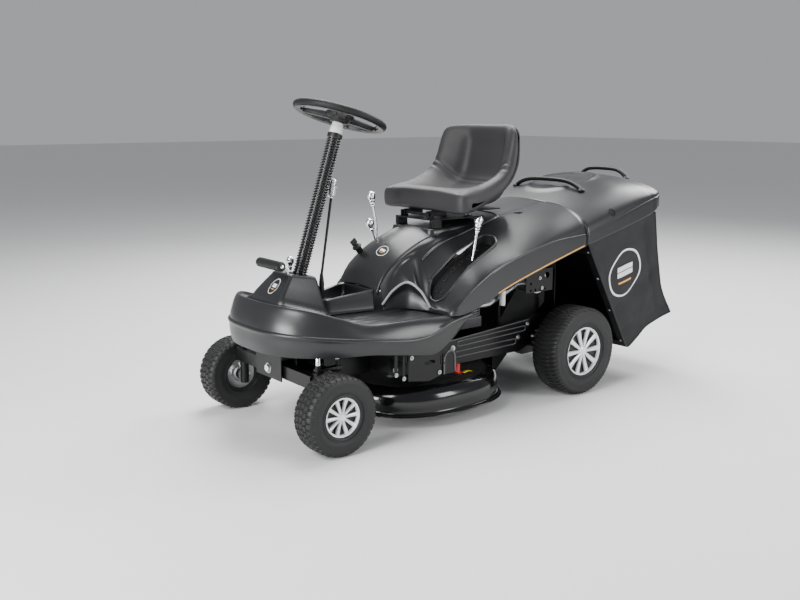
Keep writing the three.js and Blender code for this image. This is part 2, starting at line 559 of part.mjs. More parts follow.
// Holes in the guard: y and z from the muffler's middle, and radius.
const GUARD_HOLES = [[-45, -30, 5], [-20, -30, 5], [5, -30, 5], [30, -30, 5], [-45, -5, 5], [40, 20, 13]];
const guardHoles = GUARD_HOLES.map(([y, z, radius]) =>
  new THREE.Path().absarc(MUFFLER.y + y, MUFFLER.z + z, radius, 0, Math.PI * 2, true));
const GUARD = { x: 234, y0: 355, y1: 495, z0: 386, z1: 470, sheet: 3, returnX: 180 };
const guardOutline = [[GUARD.y0, GUARD.z0], [GUARD.y1, GUARD.z0], [GUARD.y1, GUARD.z1], [GUARD.y0, GUARD.z1]];
const guardFace = plateYZ(guardOutline, GUARD.x, GUARD.x + GUARD.sheet, guardHoles);
const guardReturn = box(GUARD.returnX, GUARD.x + 1, GUARD.y1 - GUARD.sheet, GUARD.y1, GUARD.z0, GUARD.z1);
add("muffler_guard", guardFace.add(guardReturn), FRAME);
add("fuel_tank", box(-130, 130, 330, 520, 560, 640), WHITE);
add("battery", box(-300, -160, 300, 440, 345, 470), PLASTIC);

// ---------- discharge chute ----------
const CHUTE = {
  halfWidth: 128, halfHeight: 82, wall: 4, mouth: [297, 146], bend: [440, 340], outlet: [600, 425],
};
function duct(wall) {
  const w = CHUTE.halfWidth - wall;
  const h = CHUTE.halfHeight - wall;
  const [[y0, z0], [y1, z1], [y2, z2]] = [CHUTE.mouth, CHUTE.bend, CHUTE.outlet];
  const outline = [[y0, z0 - h], [y2, z2 - h], [y2, z2 + h], [y1, z1 + h * 0.9], [y0, z0 + h]];
  return plateYZ(outline, -w, w);
}
const ductBore = CHUTE.halfWidth - CHUTE.wall;
const ductInside = joined(
  duct(CHUTE.wall).translate([0, -0.01, 0]),
  box(-ductBore, ductBore, 290, 302, 70, 220),
  box(-ductBore, ductBore, 596, 610, 350, 500),
);
add("discharge_chute", duct(0).subtract(ductInside), PLASTIC);

// ---------- cutting deck ----------
const DECK_HOLE = 38; // opening in the top, under the spindle housing
const DECK_POWER = 2.6; // squareness of the deck in plan
const DECK_SIDES = 24;
function deckOutline(inset, z) {
  const points = [];
  for (let i = 0; i < DECK_SIDES; i++) {
    const angle = (i / DECK_SIDES) * Math.PI * 2;
    const power = (value) => Math.sign(value) * Math.abs(value) ** (2 / DECK_POWER);
    const x = (DECK.halfWidth - inset) * power(Math.cos(angle));
    const y = DECK.y + (DECK.halfLength - inset) * power(Math.sin(angle));
    points.push([x, y, z]);
  }
  return points;
}
const DECK_SECTION = [[0, 0], [4, 5], [16, 9], [20, 70], [28, 88], [48, 99], [100, 100]];
function deckSurface() {
  const rings = DECK_SECTION.map(([inset, up]) => deckOutline(inset, DECK.rim + up));
  const hole = rings[0].map((_, i) => {
    const angle = (i / DECK_SIDES) * Math.PI * 2;
    return [DECK_HOLE * Math.cos(angle), DECK.y + DECK_HOLE * Math.sin(angle), DECK.top];
  });
  return gridTriangles([...rings, hole].map((ring) => [...ring, ring[0]]));
}
const deckShell = thickened(deckSurface(), 3.5);
const spindleHousing = turned([[14, 0], [58, 0], [42, 26], [30, 30], [30, -30], [14, -30], [14, 0]],
  [0, DECK.y, DECK.top - 2], UP, 20);
const deckOutlet = box(-122, 122, 190, 300, 60, 132);
const deckEars = bothSides(box(150, 156, -200, -170, 138, 160));
const deck = joined(deckShell, spindleHousing, deckEars).subtract(deckOutlet);
add("cutting_deck", deck, GLOSS);
const spindleProfile = [[0, -74], [26, -74], [26, -64], [12, -64], [12, 34], [70, 34], [58, 41], [70, 48],
  [12, 48], [12, 54], [0, 54], [0, -74]];
add("blade_spindle", turned(spindleProfile, [0, DECK.y, DECK.top], UP, 24), STEEL);
const BLADE = { z: 66, halfLength: 255, halfWidth: 28, sheet: 4, wingFrom: 180, wing: 14 };
const bladeBar = joined(
  box(-BLADE.halfLength, BLADE.halfLength, DECK.y - BLADE.halfWidth, DECK.y + BLADE.halfWidth,
    BLADE.z, BLADE.z + BLADE.sheet),
  box(BLADE.wingFrom, BLADE.halfLength, DECK.y + 24, DECK.y + 36, BLADE.z, BLADE.z + BLADE.wing),
  box(-BLADE.halfLength, -BLADE.wingFrom, DECK.y - 36, DECK.y - 24, BLADE.z, BLADE.z + BLADE.wing),
);
add("mower_blade", bladeBar, STEEL);
const WASHOUT_AT = [245, 18, DECK.top + 1];
const washoutProfile = [[0, 0], [14, 0], [14, 6], [9, 6], [9, 34], [0, 34], [0, 0]];
add("washout_port", turned(washoutProfile, WASHOUT_AT, UP, 14), RED);

// ---------- control levers ----------
const BLADE_LEVER = { foot: [0, -380, 392], knee: [0, -379, 500], top: [0, -336, 757] };
const bladeLever = joined(
  rod([-8, ...BLADE_LEVER.foot.slice(1)], [8, ...BLADE_LEVER.foot.slice(1)], 8, 12),
  rod(BLADE_LEVER.foot, [0, -379, 505], 7, 10),
  rod(BLADE_LEVER.knee, BLADE_LEVER.top, 4.5, 10),
);
add("blade_lever", bladeLever, PLASTIC);
const gripProfile = [[5, 0], [9, 0], [11, 8], [11, 44], [7, 50], [0, 50], [0, 2], [5, 2], [5, 0]];
const gripDir = new THREE.Vector3(0, 43, 257).normalize();
add("blade_lever_grip", turned(gripProfile, [0, -336, 757.4], gripDir, 14), CHROME);

const controlLever = (x, y0, z0, y1, z1, knob) =>
  joined(
    rod([x - 6, y0, z0], [x + 6, y0, z0], 8, 12),
    rod([x, y0, z0], [x, y1, z1], 4, 8),
    solid(new THREE.SphereGeometry(knob, 10, 8)).scale([1, 1, knob > 11 ? 1.45 : 1]).translate([x, y1, z1 + 6]),
  );
add("gear_lever", controlLever(-110, -66, 548, -82, 722, 12), CHROME);
add("throttle_lever", controlLever(-84, -88, 548, -110, 646, 11), CHROME);
const controlPlate = box(-120, -76, -100, -54, 528, 538.5);
add("lever_bracket", controlPlate, FRAME);

const HEIGHT_PIVOT = new THREE.Vector3(214, 75, 345);
const HEIGHT_TOP = new THREE.Vector3(214, 128, 632);
const heightLever = joined(
  rod([205, HEIGHT_PIVOT.y, HEIGHT_PIVOT.z], [223, HEIGHT_PIVOT.y, HEIGHT_PIVOT.z], 14, 14),
  rod(HEIGHT_PIVOT, HEIGHT_TOP, 6, 10),
);
add("height_lever", heightLever, CHROME);
const heightDir = HEIGHT_TOP.clone().sub(HEIGHT_PIVOT).normalize();
const heightGrip = [[0, 0.4], [9, 0.4], [12, 14], [16, 32], [15, 46], [8, 54], [0, 54], [0, 0.4]];
add("height_lever_knob", turned(heightGrip, HEIGHT_TOP.toArray(), heightDir, 16), CHROME);
const quadrantOutline = [[-45, 400], [-30, 385], [140, 505], [160, 530], [150, 545], [130, 530], [-40, 420]];
add("height_quadrant", plateYZ(quadrantOutline, 226, 229), PLASTIC);

const PEDAL_ARM = [[38, -470, 440], [38, -515, 505], [38, -545, 545], [38, -560, 553]];
const PAD_RADIUS = 15;
const padLine = (x0, x1) => [[x0, -560, 553], [x1, -560, 553]];
add("brake_pedal", bar(PEDAL_ARM, 5, 8).add(rod([26, -470, 440], [50, -470, 440], 9, 12)), CHROME);
const padBore = joined(rod(...padLine(0, 60), 6.2, 10), bar(PEDAL_ARM, 6, 8));
const pedalPad = rod(...padLine(-94, 46), PAD_RADIUS, 16).subtract(padBore);
add("pedal_pad", pedalPad.add(rod(...padLine(-88, -3), 6, 10)), RUBBER);
const brakeKnob = joined(
  rod([-45, -470, 470], [-45, -472, 530], 4, 10),
  solid(new THREE.SphereGeometry(10, 10, 8)).translate([-45, -472.5, 548]),
  turned([[0, 0], [8, 0], [6, 18], [0, 18], [0, 0]], [-45, -472, 524], UP, 12),
);
add("parking_brake_knob", brakeKnob, CHROME);

// ---------- grass collector ----------
const LID_ROWS = [
  { y: 562, z: 706, ex: 338, ey: 562, ez: 604, wall: 560, p: 2.1, q: 0.48 },
  { y: 680, z: 748, ex: 338, ey: 700, ez: 645, wall: 592, p: 2.1, q: 0.5 },
  { y: 790, z: 781, ex: 337, ey: 830, ez: 684, wall: 624, p: 2, q: 0.55 },
  { y: 860, z: 789, ex: 335, ey: 930, ez: 712, wall: 650, p: 2, q: 0.6 },
  { y: 885, z: 790, ex: 330, ey: 976, ez: 722, wall: 672, p: 2, q: 0.65 },
  { y: 905, z: 791, ex: 300, ey: 1013, ez: 734, wall: 682, p: 2, q: 0.7 },
  { y: 920, z: 791, ex: 190, ey: 1050, ez: 750, wall: 700, p: 2, q: 0.8 },
  { y: 935, z: 791, ex: 90, ey: 1076, ez: 758, wall: 710, p: 2, q: 0.85 },
  { y: 945, z: 791, ex: 0, ey: 1086, ez: 760, wall: 712, p: 2, q: 0.85 },
];
function lidSurface() {
  const half = gridTriangles(LID_ROWS.map((row) => {
    const points = fanRow(row, 0);
    const last = points[points.length - 1];
    last[0] = row.ex === 0 ? 0 : last[0];
    last[1] += row.ex < 330 ? 4 : 0;
    return points;
  }));
  return bothHalves(half);
}
add("collector_lid", thickened(lidSurface(), WALL), BODY);

const bagOutline = [
  [586, 552], [822, 140], [842, 127], [901, 164], [949, 198], [1012, 218], [BAG_Y, 235], [1087, 263],
  [1033, 352], [991, 539], [972, 664], [925, 642], [700, 585],
];
const bagHollow = [
  [575, 552], [816, 130], [843, 133], [901, 170], [949, 204], [1012, 224], [1099, 240], [1082, 261],
  [1027, 352], [985, 539], [966, 700], [925, 700], [700, 700], [575, 700],
];
const frontCut = plateYZ([[560, 552], [806, 120], [822, 139.5], [592, 552], [592, 720], [560, 720]], -400, 400);
const bag = plateYZ(bagOutline, -328, 328).subtract(plateYZ(bagHollow, -323, 323));
add("collector_bag", bag.subtract(frontCut), CLOTH);

// The collector's frame leans back as it goes down from its top bar.
const FRAME_RUN = { topY: 586, topZ: 550, back: 240, down: 413, halfWidth: 336, bar: 28 };
const slant = Math.atan2(FRAME_RUN.back, FRAME_RUN.down);
const frameLength = Math.hypot(FRAME_RUN.back, FRAME_RUN.down);
const frameInner = FRAME_RUN.halfWidth - FRAME_RUN.bar;
const frameWindow = box(-frameInner, frameInner, -20, 20, -frameLength + FRAME_RUN.bar, -FRAME_RUN.bar);
const frameRing = box(-FRAME_RUN.halfWidth, FRAME_RUN.halfWidth, -8, -2, -frameLength, 0).subtract(frameWindow);
const frameGroup = new THREE.Group();
frameGroup.position.set(0, FRAME_RUN.topY, FRAME_RUN.topZ);
frameGroup.rotation.x = slant;
machine.add(frameGroup);
add("collector_frame", frameRing, FRAME, { parent: frameGroup });

// A bowed handle across the lid, standing on it at both ends.
function bail({ halfSpan, y, foot, rise }) {
  const side = [[8 - halfSpan, y, foot + rise * 0.5], [-halfSpan * 0.6, y, foot + rise]];
  const otherSide = side.map(([x, ...rest]) => [-x, ...rest]).reverse();
  const middle = [0, y, foot + rise * 1.12];
  const path = [[-halfSpan, y, foot - 3], ...side, middle, ...otherSide, [halfSpan, y, foot - 3]];
  return bar(path, 7, 24);
}
const FRONT_HANDLE = { halfSpan: 176, y: 706, foot: 722, rise: 50 };
const REAR_HANDLE = { halfSpan: 122, y: 1040, foot: 760, rise: 44 };
const underLid = thickened(lidSurface(), 30).translate([0, 0, GAP]);
add("lid_front_handle", bail(FRONT_HANDLE).subtract(underLid), PLASTIC);
add("lid_rear_handle", bail(REAR_HANDLE).subtract(underLid), PLASTIC);

export default machine;
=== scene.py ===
import math
import bmesh
import bpy
import numpy as np
from mathutils import Matrix, Vector
from mathutils.bvhtree import BVHTree


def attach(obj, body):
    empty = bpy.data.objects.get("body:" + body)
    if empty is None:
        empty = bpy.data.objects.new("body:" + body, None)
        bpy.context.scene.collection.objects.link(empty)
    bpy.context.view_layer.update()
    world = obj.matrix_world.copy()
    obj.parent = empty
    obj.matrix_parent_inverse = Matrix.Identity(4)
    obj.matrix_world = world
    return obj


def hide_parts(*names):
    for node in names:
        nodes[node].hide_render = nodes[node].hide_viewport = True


# A compact riding lawn mower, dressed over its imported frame. Shapes are worked in the
# millimetres of the CAD part and placed in metres: +Z up, -Y the front, +X the driver's left.
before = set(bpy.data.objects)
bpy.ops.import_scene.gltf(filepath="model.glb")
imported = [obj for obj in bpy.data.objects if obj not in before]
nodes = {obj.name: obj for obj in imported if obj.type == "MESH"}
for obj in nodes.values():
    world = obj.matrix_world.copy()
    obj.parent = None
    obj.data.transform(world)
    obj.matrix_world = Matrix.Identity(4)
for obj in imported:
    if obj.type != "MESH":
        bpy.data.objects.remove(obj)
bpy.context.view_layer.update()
MM = 0.001
ORIGIN_Y = -217.5  # the CAD part slides back by this to centre its footprint


def metres(points):
    p = np.asarray(points, float) + np.array([0.0, ORIGIN_Y, 0.0])
    return p * MM


# ---------- materials ----------
def links(mat):
    tree = mat.node_tree
    return tree.nodes, tree.links


def material(name, base, rough, metal=0.0, grain=900.0, bump=0.05, vary=0.15, rough_vary=0.08,
             coat=0.0, pattern="grain", dust=0.0, film=0.0, specular=0.5):
    """A surface whose colour, roughness and relief all come from procedural noise."""
    mat = bpy.data.materials.new(name)
    mat.use_nodes = True
    n, l = links(mat)
    shader = n["Principled BSDF"]
    shader.inputs["Metallic"].default_value = metal
    shader.inputs["Coat Weight"].default_value = coat
    shader.inputs["Coat Roughness"].default_value = 0.08
    shader.inputs["Specular IOR Level"].default_value = specular
    where = n.new("ShaderNodeTexCoord")
    cloud = n.new("ShaderNodeTexNoise")
    cloud.inputs["Scale"].default_value = 9.0
    cloud.inputs["Detail"].default_value = 5.0
    l.new(where.outputs["Object"], cloud.inputs["Vector"])
    tone = n.new("ShaderNodeMix")
    tone.data_type = "RGBA"
    dark = [c * (1 - vary) for c in base]
    light = [min(1.0, c * (1 + vary)) for c in base]
    tone.inputs["A"].default_value = (*dark, 1)
    tone.inputs["B"].default_value = (*light, 1)
    l.new(cloud.outputs["Fac"], tone.inputs["Factor"])
    colour = tone.outputs["Result"]
    if dust:
        facing = n.new("ShaderNodeNewGeometry")
        split = n.new("ShaderNodeSeparateXYZ")
        l.new(facing.outputs["Normal"], split.inputs["Vector"])
        amount = n.new("ShaderNodeMath")
        amount.operation = "MULTIPLY"
        amount.use_clamp = True
        amount.inputs[1].default_value = dust
        l.new(split.outputs["Z"], amount.inputs[0])
        dusty = n.new("ShaderNodeMix")
        dusty.data_type = "RGBA"
        dusty.inputs["B"].default_value = (0.22, 0.21, 0.19, 1)
        l.new(amount.outputs["Value"], dusty.inputs["Factor"])
        l.new(colour, dusty.inputs["A"])
        colour = dusty.outputs["Result"]
    l.new(colour, shader.inputs["Base Color"])
    spread = n.new("ShaderNodeMapRange")
    spread.inputs["To Min"].default_value = max(0.02, rough - rough_vary)
    spread.inputs["To Max"].default_value = min(1.0, rough + rough_vary)
    l.new(cloud.outputs["Fac"], spread.inputs["Value"])
    if film:
        upward = n.new("ShaderNodeNewGeometry")
        height_part = n.new("ShaderNodeSeparateXYZ")
        l.new(upward.outputs["Normal"], height_part.inputs["Vector"])
        haze = n.new("ShaderNodeMapRange")
        haze.inputs["From Min"].default_value = 0.9
        haze.inputs["To Max"].default_value = film
        l.new(height_part.outputs["Z"], haze.inputs["Value"])
        duller = n.new("ShaderNodeMath")
        duller.operation = "MAXIMUM"
        l.new(spread.outputs["Result"], duller.inputs[0])
        l.new(haze.outputs["Result"], duller.inputs[1])
        l.new(duller.outputs["Value"], shader.inputs["Roughness"])
    else:
        l.new(spread.outputs["Result"], shader.inputs["Roughness"])
    relief = n.new("ShaderNodeBump")
    relief.inputs["Strength"].default_value = bump
    relief.inputs["Distance"].default_value = 0.0004
    if pattern == "weave":
        warp, weft = n.new("ShaderNodeTexWave"), n.new("ShaderNodeTexWave")
        warp.bands_direction, weft.bands_direction = "Y", "Z"
        both = n.new("ShaderNodeMath")
        both.operation = "MAXIMUM"
        for wave, slot in ((warp, 0), (weft, 1)):
            wave.inputs["Scale"].default_value = grain
            wave.inputs["Distortion"].default_value = 0.6
            l.new(where.outputs["Object"], wave.inputs["Vector"])
            l.new(wave.outputs["Fac"], both.inputs[slot])
        height = both.outputs["Value"]
    elif pattern == "leather":
        cells = n.new("ShaderNodeTexVoronoi")
        cells.inputs["Scale"].default_value = grain
        l.new(where.outputs["Object"], cells.inputs["Vector"])
        height = cells.outputs["Distance"]
    else:
        fine = n.new("ShaderNodeTexNoise")
        fine.inputs["Scale"].default_value = grain
        fine.inputs["Detail"].default_value = 3.0
        if pattern == "brushed":
            stretch = n.new("ShaderNodeMapping")
            stretch.inputs["Scale"].default_value = (1.0, 1.0, 0.06)
            l.new(where.outputs["Object"], stretch.inputs["Vector"])
            l.new(stretch.outputs["Vector"], fine.inputs["Vector"])
        else:
            l.new(where.outputs["Object"], fine.inputs["Vector"])
        height = fine.outputs["Fac"]
    l.new(height, relief.inputs["Height"])
    l.new(relief.outputs["Normal"], shader.inputs["Normal"])
    return mat


BODY = material("body_plastic", (0.0105, 0.011, 0.0122), 0.33, grain=1400, bump=0.10, rough_vary=0.05,
                specular=0.5)
# A lighter copy of the body plastic: a painted highlight for the bright rounded edge of the foot-well arch.
PAINTED_EDGE_HIGHLIGHT = material("body_painted_highlight", (0.22, 0.22, 0.225), 0.28, grain=1400, bump=0.08)
# A darker, duller copy of the body plastic: painted shade inside the lever slot, on the plate beneath it and
# in the lid slots.
PAINTED_RECESS_SHADE = material("recess_plastic_painted_shade", (0.005, 0.005, 0.0055), 0.6, grain=1200, bump=0.08, specular=0.2)
TRIM = material("trim_plastic", (0.007, 0.007, 0.0075), 0.45, grain=1200, bump=0.12, specular=0.35)
GLOSS = material("gloss_black", (0.003, 0.003, 0.0034), 0.15, grain=60, bump=0.02, rough_vary=0.04, film=0.9)
BELLOWS = material("bellows_black", (0.004, 0.004, 0.0045), 0.2, grain=500, bump=0.04, coat=0.3)
RUBBER = material("soft_rubber", (0.007, 0.007, 0.0075), 0.55, specular=0.3, grain=700, bump=0.3)
TYRE = material("tyre_rubber", (0.006, 0.0062, 0.0068), 0.55, grain=420, bump=0.45, vary=0.3, dust=0.03,
                specular=0.4)
FRAME = material("frame_enamel", (0.0045, 0.0045, 0.005), 0.30, grain=500, bump=0.10, specular=0.25)
# A lighter copy of the black frame enamel: a painted highlight on the edges of the pressed ribs and the
# hanger arch.
PAINTED_RIB_HIGHLIGHT = material("rib_painted_highlight", (0.07, 0.07, 0.073), 0.22, grain=500, bump=0.05)
CHROME = material("chrome", (0.88, 0.885, 0.90), 0.20, metal=1.0, grain=150, bump=0.02, vary=0.04)
STEEL = material("bare_steel", (0.48, 0.49, 0.51), 0.32, metal=1.0, grain=400, bump=0.2, pattern="brushed")
ALLOY = material("cast_alloy", (0.10, 0.10, 0.105), 0.45, metal=0.8, grain=300, bump=0.6, vary=0.3)
SILVER = material("silver_lacquer", (0.74, 0.75, 0.77), 0.28, metal=0.45, grain=900, bump=0.05, coat=0.4,
                  vary=0.04)
DISH = material("dish_grey", (0.014, 0.014, 0.0155), 0.45, metal=0.3, grain=400, bump=0.1)
VINYL = material("seat_vinyl", (0.0215, 0.021, 0.0225), 0.52, specular=0.35, grain=520, bump=0.35,
                 pattern="leather", vary=0.08)
CLOTH = material("bag_cloth", (0.0095, 0.0098, 0.011), 0.78, grain=420, bump=0.5, pattern="weave", vary=0.25)
BINDING = material("bag_binding", (0.006, 0.006, 0.0065), 0.7, grain=900, bump=0.5, pattern="weave")
WHITE = material("white_moulding", (0.72, 0.72, 0.70), 0.35, grain=400, bump=0.05, vary=0.05)
PRINT = material("white_print", (0.78, 0.78, 0.77), 0.5, grain=900, bump=0.1, vary=0.06)
ORANGE = material("orange_print", (0.74, 0.36, 0.06), 0.45, grain=900, bump=0.1, vary=0.08)
ZINC = material("zinc_plate", (0.30, 0.30, 0.305), 0.36, metal=0.6, grain=500, bump=0.1, vary=0.2)
RED = material("red_plastic", (0.55, 0.012, 0.012), 0.3, grain=500, bump=0.08)
YELLOW = material("yellow_tag", (0.75, 0.56, 0.02), 0.45, grain=500, bump=0.08)
PALE = material("pale_floor", (0.74, 0.74, 0.73), 0.85, grain=30, bump=0.02, vary=0.02)


# ---------- mesh making ----------
def finish_mesh(obj, sharp=35.0):
    """Smooth shading with an edge kept sharp wherever two faces meet at more than this angle."""
    mesh = obj.data
    work = bmesh.new()
    work.from_mesh(mesh)
    bmesh.ops.remove_doubles(work, verts=work.verts, dist=1e-5)
    bmesh.ops.recalc_face_normals(work, faces=work.faces)
    limit = math.radians(sharp)
    for edge in work.edges:
        edge.smooth = not (len(edge.link_faces) == 2 and edge.calc_face_angle(0) > limit)
    for face in work.faces:
        face.smooth = True
    work.to_mesh(mesh)
    work.free()
    return obj


def piece(name, points, faces, mat, body, replaces=(), thick=0.0, bevel=0.0, subdivide=0, sharp=35.0,
          in_metres=False):
    mesh = bpy.data.meshes.new(name)
    where = np.asarray(points, float) if in_metres else metres(points)
    mesh.from_pydata([tuple(p) for p in where], [], [tuple(int(i) for i in f) for f in faces])
    obj = bpy.data.objects.new(name, mesh)
    bpy.context.scene.collection.objects.link(obj)
    mesh.materials.append(mat)
    finish_mesh(obj, sharp)
    if thick:
        m = obj.modifiers.new("thick", "SOLIDIFY")
        m.thickness = thick * MM
        m.offset = -1
    if bevel:
        m = obj.modifiers.new("bevel", "BEVEL")
        m.width = bevel * MM
        m.segments = 3
        m.limit_method = "ANGLE"
        m.angle_limit = math.radians(30)
        m.harden_normals = True
    if subdivide:
        m = obj.modifiers.new("subdivide", "SUBSURF")
        m.levels = m.render_levels = subdivide
    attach(obj, body)
    if replaces:
        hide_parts(*replaces)
    return obj


def grid_faces(rows, cols, wrap_rows=False, wrap_cols=False, start=0):
    faces = []
    for i in range(rows if wrap_rows else rows - 1):
        for j in range(cols if wrap_cols else cols - 1):
            a, b = i * cols + j, i * cols + (j + 1) % cols
            c, d = ((i + 1) % rows) * cols + (j + 1) % cols, ((i + 1) % rows) * cols + j
            faces.append((start + a, start + b, start + c, start + d))
    return faces


def grid(points, **wrap):
    p = np.asarray(points, float)
    return p.reshape(-1, 3), grid_faces(p.shape[0], p.shape[1], **wrap)


def merged(*parts):
    points, faces, start = [], [], 0
    for p, f in parts:
        points.append(np.asarray(p, float))
        faces += [tuple(i + start for i in face) for face in f]
        start += len(p)
    return np.vstack(points), faces


def mirrored(part):
    p, f = part
    return np.asarray(p, float) * np.array([-1, 1, 1]), [tuple(reversed(face)) for face in f]


def both(part):
    return merged(part, mirrored(part))


def moved(part, at=(0, 0, 0), turn=None):
    p, f = part
    p = np.asarray(p, float)
    if turn is not None:
        p = p @ np.array(turn.to_3x3()).T
    return p + np.asarray(at, float), f


def spline(values, steps, closed=False):
    """Catmull-Rom through rows of numbers, with this many steps between each pair."""
    v = np.asarray(values, float)
    n = len(v)
    out = []
    spans = n if closed else n - 1
    for i in range(spans):
        if closed:
            a, b, c, d = v[(i - 1) % n], v[i], v[(i + 1) % n], v[(i + 2) % n]
        else:
            b, c = v[i], v[i + 1]
            a = v[i - 1] if i else 2 * b - c
            d = v[i + 2] if i + 2 < n else 2 * c - b
        for k in range(steps):
            t = k / steps
            out.append(0.5 * (2 * b + (c - a) * t + (2 * a - 5 * b + 4 * c - d) * t * t
                              + (3 * b - a - 3 * c + d) * t ** 3))
    if not closed:
        out.append(v[-1])
    return np.array(out)


def lathe(profile, sides=48, turn=None, at=(0, 0, 0), smooth_profile=0):
    """A body of revolution about Z from [radius, height] pairs, then turned and moved."""
    pairs = spline(profile, smooth_profile) if smooth_profile else np.asarray(profile, float)
    angles = np.linspace(0, 2 * math.pi, sides, endpoint=False)
    rings = np.stack([np.stack([r * np.cos(angles), r * np.sin(angles), np.full(sides, z)], axis=-1)
                      for r, z in pairs])
    return moved(grid(rings, wrap_cols=True), at, turn)


def aim(direction, up=(0, 0, 1)):
    """The turn that takes +Z to this direction."""
    return Vector(up).rotation_difference(Vector(direction)).to_matrix()


def tube(path, radius, sides=12, steps=6, closed=False, smooth=True, flat=1.0):
    """A round bar along a path, with its ends closed."""
    line = spline(path, steps, closed) if smooth else np.asarray(path, float)
    radii = np.full(len(line), radius) if np.isscalar(radius) else np.interp(
        np.linspace(0, 1, len(line)), np.linspace(0, 1, len(radius)), radius)
    rings = []
    for i, p in enumerate(line):
        a = line[(i - 1) % len(line)] if closed or i else line[0]
        b = line[(i + 1) % len(line)] if closed or i + 1 < len(line) else line[-1]
        d = Vector(b - a).normalized()
        side = d.cross(Vector((0, 0, 1)))
        if side.length < 0.05:
            side = d.cross(Vector((0, 1, 0)))
        side.normalize()
        rise = side.cross(d)
        ring = [p + radii[i] * (np.array(side) * math.cos(t) + flat * np.array(rise) * math.sin(t))
                for t in np.linspace(0, 2 * math.pi, sides, endpoint=False)]
        rings.append(ring)
    points, faces = grid(rings, wrap_cols=True, wrap_rows=closed)
    if not closed:
        last = len(points) - sides
        faces += [tuple(range(sides - 1, -1, -1)), tuple(range(last, last + sides))]
    return points, faces


def block(x0, x1, y0, y1, z0, z1):
    p = [(x, y, z) for x in (x0, x1) for y in (y0, y1) for z in (z0, z1)]
    f = [(0, 1, 3, 2), (4, 6, 7, 5), (0, 4, 5, 1), (2, 3, 7, 6), (0, 2, 6, 4), (1, 5, 7, 3)]
    return np.array(p, float), f


def surface_of(part):
    points, faces = part
    return BVHTree.FromPolygons([tuple(p) for p in points], [tuple(f) for f in faces])


def drape(surface, flat_points, lift=0.0, direction=(0, 0, -1)):
    """Drops points onto a surface along a direction and lifts them off it by a little."""
    way = Vector(direction)
    out = []
    for p in flat_points:
        hit, normal, _, _ = surface.ray_cast(Vector(p) - way * 2000, way)
        if hit is None:
            out.append(np.array(p, float))
            continue
        if normal.dot(way) > 0:
            normal = -normal
        out.append(np.array(hit + normal * lift))
    return np.array(out)


def dressed(node, mat, body, bevel=1.0, sharp=32.0):
    """The CAD node's own shape with its edges broken, standing in for it."""
    source = nodes[node]
    mesh = source.data.copy()
    mesh.transform(source.matrix_world)
    mesh.materials.clear()
    mesh.materials.append(mat)
    obj = bpy.data.objects.new(node + "_dressed", mesh)
    bpy.context.scene.collection.objects.link(obj)
    work = bmesh.new()
    work.from_mesh(mesh)
    bmesh.ops.remove_doubles(work, verts=work.verts, dist=1e-5)
    bmesh.ops.dissolve_limit(work, angle_limit=math.radians(2), verts=work.verts, edges=work.edges)
    work.to_mesh(mesh)
    work.free()
    finish_mesh(obj, sharp)
    m = obj.modifiers.new("bevel", "BEVEL")
    m.width = bevel * MM
    m.segments = 2
    m.limit_method = "ANGLE"
    m.angle_limit = math.radians(sharp)
    m.harden_normals = True
    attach(obj, body)
    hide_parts(node)
    return obj


def lerp(a, b, t):
    return a + (b - a) * t


# ---------- front platform ----------
HALF_WIDTH, NOSE_Y, NOSE_START, NOSE_POWER = 345.0, -674.0, -38.0, 2.78
SKIRT_BOTTOM = [[-674, 292], [-400, 290], [-250, 270], [-157, 257], [-53, 324], [-2, 377]]
CREASE = [[-674, 367], [-254, 321], [-183, 327], [-124, 352], [-102, 362], [-40, 372], [-2, 379]]
SHOULDER = [[-674, 450], [-590, 438], [-540, 421], [-487, 403], [-440, 386], [-405, 381], [0, 380]]
FLOOR = [[-590, 438], [-540, 420], [-500, 397], [-450, 379], [-430, 376], [0, 376]]


def along(table, position):
    """A value from a table of [position, value] pairs, rounded over its corners."""
    t = np.array(table, float)
    spread = min(26.0, max(2.0, -position))
    offsets = np.linspace(-spread, spread, 9)
    return float(np.mean(np.interp(position + offsets, t[:, 0], t[:, 1])))


def edge_place(angle):
    s, c = max(0.0, math.sin(angle)), max(0.0, math.cos(angle))
    return (HALF_WIDTH * c ** (2 / NOSE_POWER), NOSE_START + (NOSE_Y - NOSE_START) * s ** (2 / NOSE_POWER))


def platform_column(x, y):
    bottom, crease, shoulder = along(SKIRT_BOTTOM, y), along(CREASE, y), along(SHOULDER, y)
    reach = math.hypot(x, (y - NOSE_START) * 0.6) or 1.0
    lean = min(1.0, abs(y - NOSE_START) / 350)

    def inward(inset, z):
        return (x - inset * x / reach, y - inset * (y - NOSE_START) * 0.6 / reach, z)

    rows = [inward(14, bottom + 1), inward(11, bottom), inward(8, bottom + 1)]
    for t, inset in ((0.15, 6), (0.35, 3), (0.6, 1), (0.85, 0.5)):
        rows.append(inward(inset, lerp(bottom, crease - 6, t)))
    rows += [inward(-1.5, crease - 7), inward(-3.5, crease - 4), inward(-4, crease), inward(-2, crease + 4),
             inward(3, crease + 6)]
    for t, inset in ((0.2, 5), (0.45, 8 + 3 * lean), (0.7, 12 + 5 * lean), (0.88, 18 + 5 * lean)):
        rows.append(inward(inset, lerp(crease + 6, shoulder, t)))
    rows += [inward(22 + 6 * lean, shoulder - 1), inward(25 + 6 * lean, shoulder + 1),
             inward(29 + 6 * lean, shoulder + 0.6)]
    for inset in (34, 40, 48, 60):
        px, py, _ = inward(inset + 6 * lean, 0)
        rows.append((px, py, along(FLOOR, py)))
    return rows


